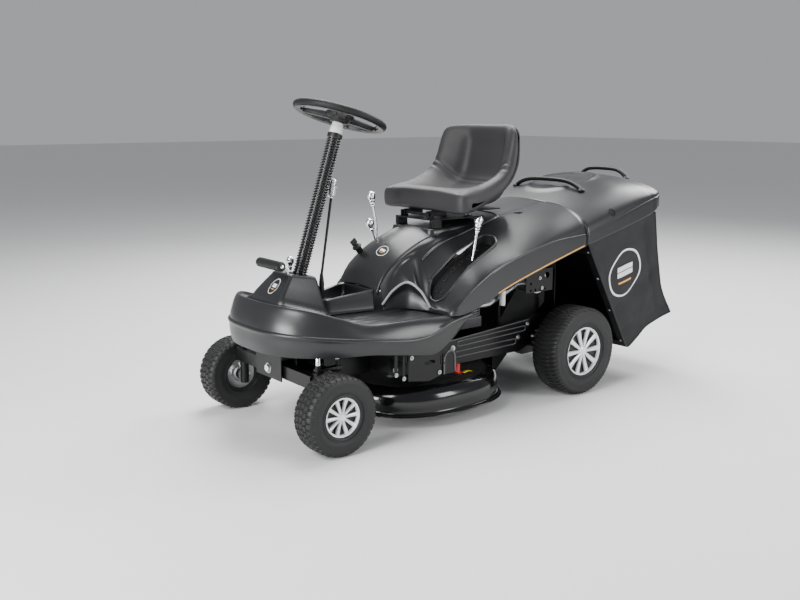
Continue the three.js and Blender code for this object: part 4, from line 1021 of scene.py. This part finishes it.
blade_stick = [tube([(0, -379, 500), (0, -336, 757)], 4.4, 14, 2),
               lathe([[8, 0], [9, 2], [9, 84], [7.6, 96], [5.6, 112], [5, 116]], 24, aim((0, 1, 105)),
                     (0, -380, 392)),
               lathe([[0.1, -9], [8, -9], [8, 9], [0.1, 9]], 24, aim((1, 0, 0)), (0, -380, 392))]
piece("blade_stick", *merged(*blade_stick), TRIM, "blade_control", ["blade_lever"], sharp=50)
piece("brake_knob",
      *lathe(np.vstack([[0.1, -74], [3.6, -74], [3.6, -24], ball_stack(1.12)]), 32, None,
             (-45, -472.2, 542)), CHROME, "parking_brake",
      ["parking_brake_knob"], sharp=50)
pad = [[0.1, 0], [13, 0], [15.8, 1.5], [16.2, 4]]
for i in range(10):
    z = 8 + i * 12.6
    pad += [[16.2, z], [16.2, z + 8.8], [14.6, z + 9.8], [14.6, z + 11.4]]
pad += [[16.2, 136], [15.2, 139], [11, 140], [10.5, 137], [0.1, 137]]
piece("pedal_rubber", *lathe(pad, 40, aim((-1, 0, 0)), (46, -560, 553)), TRIM, "pedal", ["pedal_pad"],
      sharp=35)
pedal_arm = [tube([(38, -470, 440), (38, -515, 505), (38, -545, 545), (38, -560, 553)], 5.2, 14, 6),
             lathe([[0.1, -12], [9, -12], [9, 12], [0.1, 12]], 24, aim((1, 0, 0)), (38, -470, 440)),
             lathe([[0.1, 0], [6.5, 0], [7, 1], [7, 5], [5, 6.5], [0.1, 6.5]], 24, aim((1, 0, 0)),
                   (46.2, -560, 553))]
piece("pedal_arm", *merged(*pedal_arm), CHROME, "pedal", ["brake_pedal"], sharp=50)
key_axis = np.array([0, -0.6198, 0.7848])
key_at = np.array([-80, -160, 552.0])
barrel = [[0.1, 0], [12, 0], [12, 22], [17, 22.5], [18, 24.5], [17, 27], [12.5, 29.5], [9.5, 30], [9, 28.5],
          [0.1, 28.5]]
piece("key_barrel", *lathe(barrel, 36, aim(key_axis), key_at), TRIM, "chassis", ["ignition_barrel"], sharp=35)
dressed("ignition_key", TRIM, "key", 1.6)

# ---------- wheels ----------
def tyre_part(radius, width, bead, pattern):
    """A tubeless tyre about X whose tread pattern(angle, across) is cut by up to its depth."""
    half = width / 2
    section = [(bead + 1, -0.72 * half), (bead, -0.80 * half), (bead + 3, -0.90 * half),
               (bead + 7, -0.935 * half), (bead + 9, -0.92 * half)]
    section += [(lerp(bead + 12, radius - 26, t),
                 -half * (0.93 + 0.07 * math.sin(math.pi * t * 0.8))) for t in np.linspace(0, 1, 6)]
    section += [(radius - 20, -0.995 * half), (radius - 13, -0.97 * half)]
    crown = [(radius - 7, -0.915), (radius - 3.2, -0.83), (radius - 1.4, -0.74)]
    across = np.linspace(-0.66, 0.66, 25)
    tread = [(r, u * half) for r,
             u in crown] + [(radius - 1.2 * abs(u) ** 2, u * half) for u in across] + [(r, -u * half) for r,
                 u in crown[::-1]]
    whole = section + tread + [(r, -w) for r, w in section[::-1]]
    start, end = len(section), len(section) + len(tread)
    steps = pattern["count"] * 10
    rings = []
    for k, (r, w) in enumerate(whole):
        ring = []
        for i in range(steps):
            cut_by = 0
            if start <= k < end:
                cut_by = pattern["depth"] * pattern["shape"](i / 10, w / half)
            a = 2 * math.pi * i / steps
            rr = r - cut_by
            ring.append((w, rr * math.cos(a), rr * math.sin(a)))
        rings.append(ring)
    return grid(rings, wrap_cols=True)


def turf_block(turn, u):
    """Staggered rectangular blocks in five rows."""
    row = (u + 1) * 2.6
    lane = int(row)
    if row - lane < 0.16:
        return 1.0
    shift = 0.5 if lane % 2 else 0.0
    bent = turn + shift + 0.22 * math.sin(lane * 2.2) + 0.12 * (row - lane)
    return 1.0 if bent % 1.0 > 0.76 else 0.0


def lug_bar(turn, u):
    """Fine bars across the tread that lean back from its middle."""
    bent = turn + 0.9 * abs(u)
    ring = abs(abs(u) - 0.36) < 0.025
    return 1.0 if bent % 1.0 > 0.62 or ring else 0.0


def sidewall_rings(bead, radius, half, out):
    rings = []
    for r in (bead + 13, bead + (radius - bead) * 0.52):
        rings.append(lathe([[r - 1.5, 0], [r - 0.7, 0.8], [r + 0.7, 0.8], [r + 1.5, 0]], 96,
                           aim((out, 0, 0)), (out * half * 0.985, 0, 0)))
    return merged(*rings)


def spoked_cover(radius, face, out):
    """An outer ring, ten tapering spokes and a plain hub, over a dark dish."""
    parts = []
    ring = [[radius - 1, face - 16], [radius, face - 3], [radius - 0.5, face], [radius - 3, face + 1.5],
            [radius - 7, face + 0.8],
            [radius - 9.5, face - 2.5], [radius - 10, face - 9]]
    parts.append(lathe(ring, 80))
    hub_r = radius * 0.20
    hub = [[hub_r + 3, face - 9], [hub_r + 2, face - 4], [hub_r, face - 0.6], [hub_r * 0.86, face + 0.6],
           [hub_r * 0.8, face - 0.5],
           [hub_r * 0.5, face - 0.7], [0.1, face - 0.5]]
    parts.append(lathe(hub, 48))
    for i in range(10):
        a = 2 * math.pi * (i + 0.5) / 10
        rows = []
        for t in np.linspace(0, 1, 7):
            d = lerp(hub_r * 0.9, radius - 7, t)
            w = lerp(radius * 0.055, radius * 0.095, t)
            z = face - 1.6 - 3.2 * math.sin(math.pi * t) * 0.6
            rows.append([(d * math.cos(a) - s * math.sin(a), d * math.sin(a) + s * math.cos(a), z + h)
                         for s,
                         h in ((w * 1.15, -7), (w, -1), (w * 0.6, 0.4), (0, 0.9), (-w * 0.6, 0.4), (-w, -1),
                               (-w * 1.15, -7))])
        parts.append(grid(rows))
    return moved(merged(*parts), (0, 0, 0), Matrix(((0, 0, out), (0, 1, 0), (-out, 0, 0))))


TURF = {"count": 38, "depth": 4.2, "shape": turf_block}
LUGS = {"count": 62, "depth": 4.6, "shape": lug_bar}
WHEELS = {
    "front": (127.0, 100.0, 62.0, 314.5, -542.0, 40.0, TURF),
    "rear": (165.0, 127.0, 90.0, 308.5, 542.0, 53.0, LUGS),
}
for end, (radius, width, bead, x, y, face, pattern) in WHEELS.items():
    for side, out in (("left", 1), ("right", -1)):
        body = "%s_%s_wheel" % (end, side)
        name = "%s_%s" % (end, side)
        at = (out * x, y, radius)
        rubber = tyre_part(radius, width, bead, pattern)
        piece(name + "_tread", *moved(rubber, at), TYRE, body, [name + "_tyre"], sharp=28)
        piece(name + "_sidewall_rings", *moved(sidewall_rings(bead, radius, width / 2, out), at), TYRE,
              body, sharp=60)
        cover = spoked_cover(bead + 3, face - 1, out)
        piece(name + "_cover", *moved(cover, at), SILVER, body, sharp=32)
        barrel = width * 0.39
        plate = face - 16
        dish = [[bead - 0.6, -barrel], [bead - 0.6, barrel], [bead - 3, face - 12], [bead - 14, plate + 1],
                [34, plate], [22, plate + 3], [10.6, plate + 3],
                [10.6, -barrel + 6], [20, -barrel + 6], [22, plate - 6], [34, plate - 10],
                [bead - 24, plate - 10], [bead - 11, plate - 22],
                [bead - 8, -barrel + 4], [bead - 4, -barrel], [bead - 0.6, -barrel]]
        dish_part = lathe(dish, 72, Matrix(((0, 0, out), (0, 1, 0), (-out, 0, 0))))
        piece(name + "_dish", *moved(dish_part, at), DISH, body, [name + "_rim"], sharp=32)

# ---------- cutting deck ----------
DECK_SECTION = [[3, 0.4], [0, 0], [-1, 2], [3, 4.5], [10, 6], [14, 9], [15.5, 15], [14, 28], [13.5, 42],
                [15.5, 57], [21, 71], [31, 83],
                [45, 92], [64, 97.5], [100, 100], [150, 100.2]]


def deck_ring(inset, z, count=144):
    points = []
    for a in np.linspace(0, 2 * math.pi, count, endpoint=False):
        c, s = math.cos(a), math.sin(a)
        x = (342 - inset) * math.copysign(abs(c) ** (2 / 2.6), c)
        y = -30 + (320 - inset) * math.copysign(abs(s) ** (2 / 2.6), s)
        points.append((x, y, z))
    return points


deck_rows = [deck_ring(i, 46 + z) for i, z in spline(DECK_SECTION, 3)]
deck_rows.append(deck_ring(284, 146))
deck_part = grid(deck_rows, wrap_cols=True)
housing = lathe([[58, -1], [56, 6], [46, 20], [40, 25], [30, 27.5], [14.4, 27.5], [14.4, -30]], 60, None,
                (0, -30, 146))
piece("deck_shell", *merged(deck_part, housing), GLOSS, "deck", ["cutting_deck"], thick=2.4, sharp=50)
deck_surface = surface_of(deck_part)
rib_path = [(250, -190, 0), (262, -110, 0), (262, 20, 0), (246, 110, 0)]
draped_bead("deck_rib", deck_surface, rib_path, 5, GLOSS, "deck", lift=-2, steps=6)
port = [[0.1, 0], [13.4, 0], [13.8, 1.2], [13.8, 5.2], [12.8, 6], [9.6, 6.4], [8.6, 9], [8.6, 29],
        [9.2, 30.5], [9.2, 33.2], [8.4, 34], [0.1, 34]]
piece("washout_fitting", *lathe(port, 36, None, (245, 18, 147)), RED, "deck", ["washout_port"], sharp=35)
tag = grid([[(256 + 16 * v, 26 + 38 * u, 151 + 4 * math.sin(u * 3)) for u in np.linspace(0, 1,
    9)] for v in (0, 1)])
piece("washout_tag", *tag, YELLOW, "deck", thick=0.8, sharp=60)
for node, mat, body in (("blade_spindle", STEEL, "blade"), ("mower_blade", STEEL, "blade"),
                        ("engine_pulley", STEEL, "engine_drive"),
                        ("engine", ALLOY, "chassis"), ("transaxle", ALLOY, "chassis"),
                        ("muffler", STEEL, "chassis"),
                        ("battery", TRIM, "chassis"), ("discharge_chute", TRIM, "chassis"),
                        ("rear_plate", FRAME, "chassis"),
                        ("front_subframe", FRAME, "chassis"), ("front_axle_beam", FRAME, "front_axle"),
                        ("axle_pivot_bolt", CHROME, "chassis"),
                        ("left_spindle", FRAME, "left_kingpin"), ("right_spindle", FRAME, "right_kingpin"),
                        ("tie_rod", FRAME, "track_rod"),
                        ("seat_bracket", FRAME, "chassis"), ("seat_pan", FRAME, "seat_unit"),
                        ("lever_bracket", FRAME, "chassis"),
                        ("fuel_tank", WHITE, "chassis"), ("muffler_guard", FRAME, "chassis"),
                        ("left_chassis_rail", FRAME, "chassis"), ("right_chassis_rail", FRAME, "chassis")):
    dressed(node, mat, body, 0.8)


# ---------- kingpins and the inner faces of the front wheels ----------
for side, out in (("left", 1), ("right", -1)):
    pin = lathe([[0.1, 256.6], [7.4, 256.6], [7.4, 290], [6, 293], [0.1, 293.5]], 24, None,
                (out * 236, -552, 0))
    rod_end = lathe([[0.1, 278.4], [8, 278.4], [8, 284], [5, 287], [0.1, 287]], 6, None, (out * 236, -480, 0))
    piece(side + "_kingpin_cap", *merged(pin, rod_end), CHROME, side + "_kingpin", sharp=40)
    dish = [[61, -36], [57, -33], [52, -28], [36, -24], [30, -25], [27, -30], [24, -33], [12.5, -33],
            [12.5, -28], [22, -22],
            [36, -20], [55, -23], [60, -28], [61, -36]]
    turn = Matrix(((0, 0, out), (0, 1, 0), (-out, 0, 0)))
    piece(side + "_inner_dish", *lathe(dish, 64, turn, (out * 314.5, -542, 127)), ZINC,
          "front_%s_wheel" % side, sharp=35)
    boss = lathe([[10.5, 247.5], [17.5, 247.5], [19, 250], [19, 264], [17, 267], [17, 274], [10.5, 274]], 32,
                 Matrix(((0, 0, out), (0, 1, 0), (-out, 0, 0))), (0, -542, 127))
    piece(side + "_stub_collar", *boss, CHROME, side + "_kingpin", sharp=40)
    arm = tube([(out * 238, -560, 184), (out * 256, -560, 182), (out * 266, -554, 166),
                (out * 262, -545, 143)], 6.5, 14, 6)
    piece(side + "_spindle_arm", *arm, CHROME, side + "_kingpin", sharp=60)


def bolt(at, direction, size=6.5, head=4.5):
    washer = lathe([[0.1, 0], [size * 1.55, 0], [size * 1.6, 0.5], [size * 1.55, 1.3], [0.1, 1.3]], 24)
    hexagon = lathe([[0.1, 1.3], [size, 1.3], [size, head], [size * 0.9, head + 0.9], [0.1, head + 1]], 6)
    thread = lathe([[0.1, head], [size * 0.5, head], [size * 0.5, head + 3.6], [size * 0.42, head + 4.4],
                    [0.1, head + 4.4]], 16)
    return moved(merged(washer, hexagon, thread), at, aim(direction))


# ---------- deck hangers, engine fins and filler bottle ----------
def plate_with_slot(x, outline, slot, mat_name, thick=3.0):
    """A flat plate in the Y-Z plane with one long hole."""
    n = len(outline)
    outer = np.array([(x, y, z) for y, z in outline])
    centre = np.array(slot[:2])
    inner = []
    for _, y, z in outer:
        a = math.atan2((z - centre[1]) / slot[3], (y - centre[0]) / slot[2])
        inner.append((x, centre[0] + slot[2] * math.cos(a), centre[1] + slot[3] * math.sin(a)))
    return piece(mat_name, *both(grid([outer, np.array(inner)], wrap_cols=True)), FRAME, "chassis",
                 thick=thick, bevel=0.8, sharp=40)


hanger = []
for y0, z0, y1, z1 in ((-238, 262, -238, 172), (-238, 172, -150, 158), (-150, 158, -98, 170),
                       (-98, 170, -92, 236), (-92, 236, -120, 262),
                       (-120, 262, -238, 262)):
    hanger += [(lerp(y0, y1, t), lerp(z0, z1, t)) for t in np.linspace(0, 1, 8, endpoint=False)]
plate_with_slot(292, hanger, (-146, 222, 24, 6.5), "deck_hanger_plate")
# The arch rib takes the lighter enamel, a painted highlight along its pressed edge.
arch_path = [(294, -86, 172), (294, -84, 226), (294, -72, 246), (294, -52, 248), (294, -40, 232),
             (294, -36, 176)]
piece("deck_hanger_arch", *both(tube(arch_path, 3.4, 10, 8)), PAINTED_RIB_HIGHLIGHT, "chassis", sharp=60)
straps = [block(290, 294, -296, -284, 196, 268), block(290, 294, -262, -254, 178, 262),
          block(206, 294, -250, -246, 236, 262),
          block(206, 294, -100, -96, 206, 240), block(288, 293, -90, -32, 170, 244)]
piece("deck_hanger_straps", *both(merged(*straps)), FRAME, "chassis", bevel=0.8, sharp=30)
web = [block(-3, 3, -560, -240, 236, 330), block(-160, 160, -243, -238, 172, 290)]
web += [block(95, 98, -440, -246, 165, 262), block(-98, -95, -440, -246, 165, 262)]
web += [block(-98, 98, -525, -436, 203, 206)]
piece("subframe_web", *merged(*web), FRAME, "chassis", bevel=0.8, sharp=30)
hanger_bolts = [bolt((294, y, z), (1, 0, 0), 4.5, 3.5) for y,
                z in ((-290, 203), (-258, 186), (-226, 250), (-106, 182))]
piece("deck_hanger_bolts", *both(merged(*hanger_bolts)), STEEL, "chassis", sharp=30)
fins = [block(118, 182, 62, 178, z, z + 2.4) for z in np.arange(314, 380, 8.2)]
fins += [block(-96, 146, 8, 212, z, z + 2.4) for z in np.arange(306, 398, 8.2)]
piece("engine_fins", *merged(*fins), ALLOY, "chassis", sharp=30)
bottle = [[0.1, 344], [10, 344], [11, 347], [11, 398], [9, 404], [6, 406], [6, 412], [0.1, 413]]
piece("filler_bottle", *lathe(bottle, 32, None, (186, 286, 0)), WHITE, "chassis", sharp=40)
piece("filler_bracket", *merged(block(168, 200, 280, 292, 340, 343.6), block(168, 171, 280, 292, 262, 342)),
      FRAME, "chassis", sharp=30)

# ---------- seat plinth on the hood ----------
plinth_rings = []
for grow, z in ((9, 612), (5, 618), (3, 626), (1.5, 633), (-1, 636.2), (-5, 637.2), (-14, 637.4),
                (-30, 637.2)):
    plinth_rings.append([(x, y, z + max(0, (y - 130) * 0.1)) for x, y,
                         _ in rounded_ring(112 + grow, 2 - grow, 196 + grow, 0, 0, 24 + grow * 0.5)])
plinth_points, plinth_faces = grid(plinth_rings, wrap_cols=True)
ring_count = len(plinth_rings[0])
plinth_faces.append(tuple(range(len(plinth_points) - ring_count, len(plinth_points))))
piece("seat_plinth", plinth_points, plinth_faces, BODY, "chassis", sharp=60)

# ---------- seat springs ----------
def coil(x, y, z0, z1, radius, wire, turns):
    path = []
    for t in np.linspace(0, 1, int(turns * 14)):
        a = 2 * math.pi * turns * t
        path.append((x + radius * math.cos(a), y + radius * math.sin(a), lerp(z0, z1, t)))
    return tube(path, wire, 8, 1, smooth=False)


springs = [coil(x, 215, 671.5, 690, 14, 2.0, 4.5) for x in (70, -70)]
cups = [lathe([[0.1, 0], [15, 0], [16, 1], [15, 2.4], [0.1, 2.4]], 30, None, (x, 215, 669.5)) for x in (70,
    -70)]
piece("spring_coils", *merged(*springs, *cups), STEEL, "chassis", ["seat_springs"], sharp=50)

# ---------- ribs, bolts and brackets on the side of the chassis ----------
def flat_ring(y0, z0, y1, z1, half, x, count=12):
    """A long pressed rib, as a closed path round its edge."""
    d = np.array([y1 - y0, z1 - z0], float)
    d /= np.linalg.norm(d)
    n = np.array([-d[1], d[0]])
    path = []
    for k in range(count):
        a = math.pi * k / (count - 1) - math.pi / 2
        p = np.array([y1, z1]) + half * (math.cos(a) * d + math.sin(a) * n)
        path.append((x, p[0], p[1]))
    for k in range(count):
        a = math.pi * k / (count - 1) + math.pi / 2
        p = np.array([y0, z0]) + half * (math.cos(a) * d + math.sin(a) * n)
        path.append((x, p[0], p[1]))
    return path


# The ribs take the lighter enamel, a painted highlight along their edges.
ribs = []
for y0, z0, y1, z1, half in ((-10, 200, 330, 205, 10), (60, 238, 380, 248, 9)):
    ribs.append(tube(flat_ring(y0, z0, y1, z1, half, 205.4), 2.6, 8, 1, closed=True, smooth=False))
ribs.append(tube([(205, -24, 251), (205, 405, 278)], 2.8, 8, 2))
piece("rail_ribs", *both(merged(*ribs)), PAINTED_RIB_HIGHLIGHT, "chassis", sharp=60)


bolts = [bolt((205.2, y, z), (1, 0, 0)) for y,
         z in ((-200, 236), (-225, 190), (30, 225), (352, 218), (400, 262), (430, 212), (560, 262))]
piece("chassis_bolts", *both(merged(*bolts)), STEEL, "chassis", sharp=30)
subframe_bolts = [bolt((98.3, y, z), (1, 0, 0), 5.5, 4) for y,
                  z in ((-575, 300), (-480, 300), (-300, 300), (-260, 280))]
piece("subframe_bolts", *both(merged(*subframe_bolts)), STEEL, "chassis", sharp=30)
guard_bolts = [bolt((237.2, 425 + y, 425 + z), (1, 0, 0), 4.2, 3) for y, z in ((2, 12), (14, -26))]
piece("guard_bolts", *merged(*guard_bolts), STEEL, "chassis", sharp=30)
pivot_washer = lathe([[13.4, 0], [17, 0], [17.6, 0.6], [17, 1.5], [13.4, 1.5]], 32, aim((0, -1, 0)),
                     (0, -592.3, 216))
piece("pivot_washer", *pivot_washer, STEEL, "chassis", sharp=40)

# ---------- camera, floor and lights ----------
azimuth, elevation = math.radians(51.907), math.radians(11.272)
back = Vector((math.sin(azimuth) * math.cos(elevation), -math.cos(azimuth) * math.cos(elevation),
               math.sin(elevation)))
right = Vector((math.cos(azimuth), math.sin(azimuth), 0))
up = back.cross(right)
lens = bpy.data.cameras.new("camera")
lens.lens = 42.12
lens.sensor_width = 36
camera = bpy.data.objects.new("camera", lens)
camera.matrix_world = Matrix(((right.x, up.x, back.x, 2.5987), (right.y, up.y, back.y, -2.2989),
                              (right.z, up.z, back.z, 1.0333), (0, 0, 0, 1)))
bpy.context.scene.collection.objects.link(camera)
bpy.context.scene.camera = camera

floor_mesh = bpy.data.meshes.new("floor")
floor_mesh.from_pydata([(-30, -30, 0), (30, -30, 0), (30, 30, 0), (-30, 30, 0)], [], [(0, 1, 2, 3)])
floor_mesh.materials.append(PALE)
floor = bpy.data.objects.new("floor", floor_mesh)
bpy.context.scene.collection.objects.link(floor)

world = bpy.data.worlds.new("studio")
world.use_nodes = True
world.node_tree.nodes["Background"].inputs["Color"].default_value = (0.93, 0.95, 1.0, 1)
world.node_tree.nodes["Background"].inputs["Strength"].default_value = 0.42
bpy.context.scene.world = world


def soft_light(name, at, target, size, power, colour=(1, 1, 1)):
    data = bpy.data.lights.new(name, "AREA")
    data.shape = "RECTANGLE"
    data.size, data.size_y = size
    data.energy = power
    data.color = colour
    obj = bpy.data.objects.new(name, data)
    obj.location = at
    obj.rotation_euler = (Vector(target) - Vector(at)).to_track_quat("-Z", "Y").to_euler()
    bpy.context.scene.collection.objects.link(obj)


soft_light("key", (1.0, -3.6, 2.8), (0, -0.35, 0.4), (1.6, 1.2), 120)
soft_light("top", (-0.9, 0.5, 3.4), (0, 0.1, 0.5), (1.6, 3.0), 200)
soft_light("rim", (-3.0, 1.6, 2.4), (0, 0, 0.6), (1.0, 2.2), 30)
soft_light("side", (3.6, 1.5, 1.5), (0.2, 0.2, 0.5), (1.2, 1.6), 95)
soft_light("rear", (-0.3, 3.8, 3.4), (0.1, 0.4, 0.6), (2.0, 1.2), 170)
soft_light("front", (0.5, -3.9, 0.75), (0.1, -0.5, 0.35), (1.4, 0.7), 120)
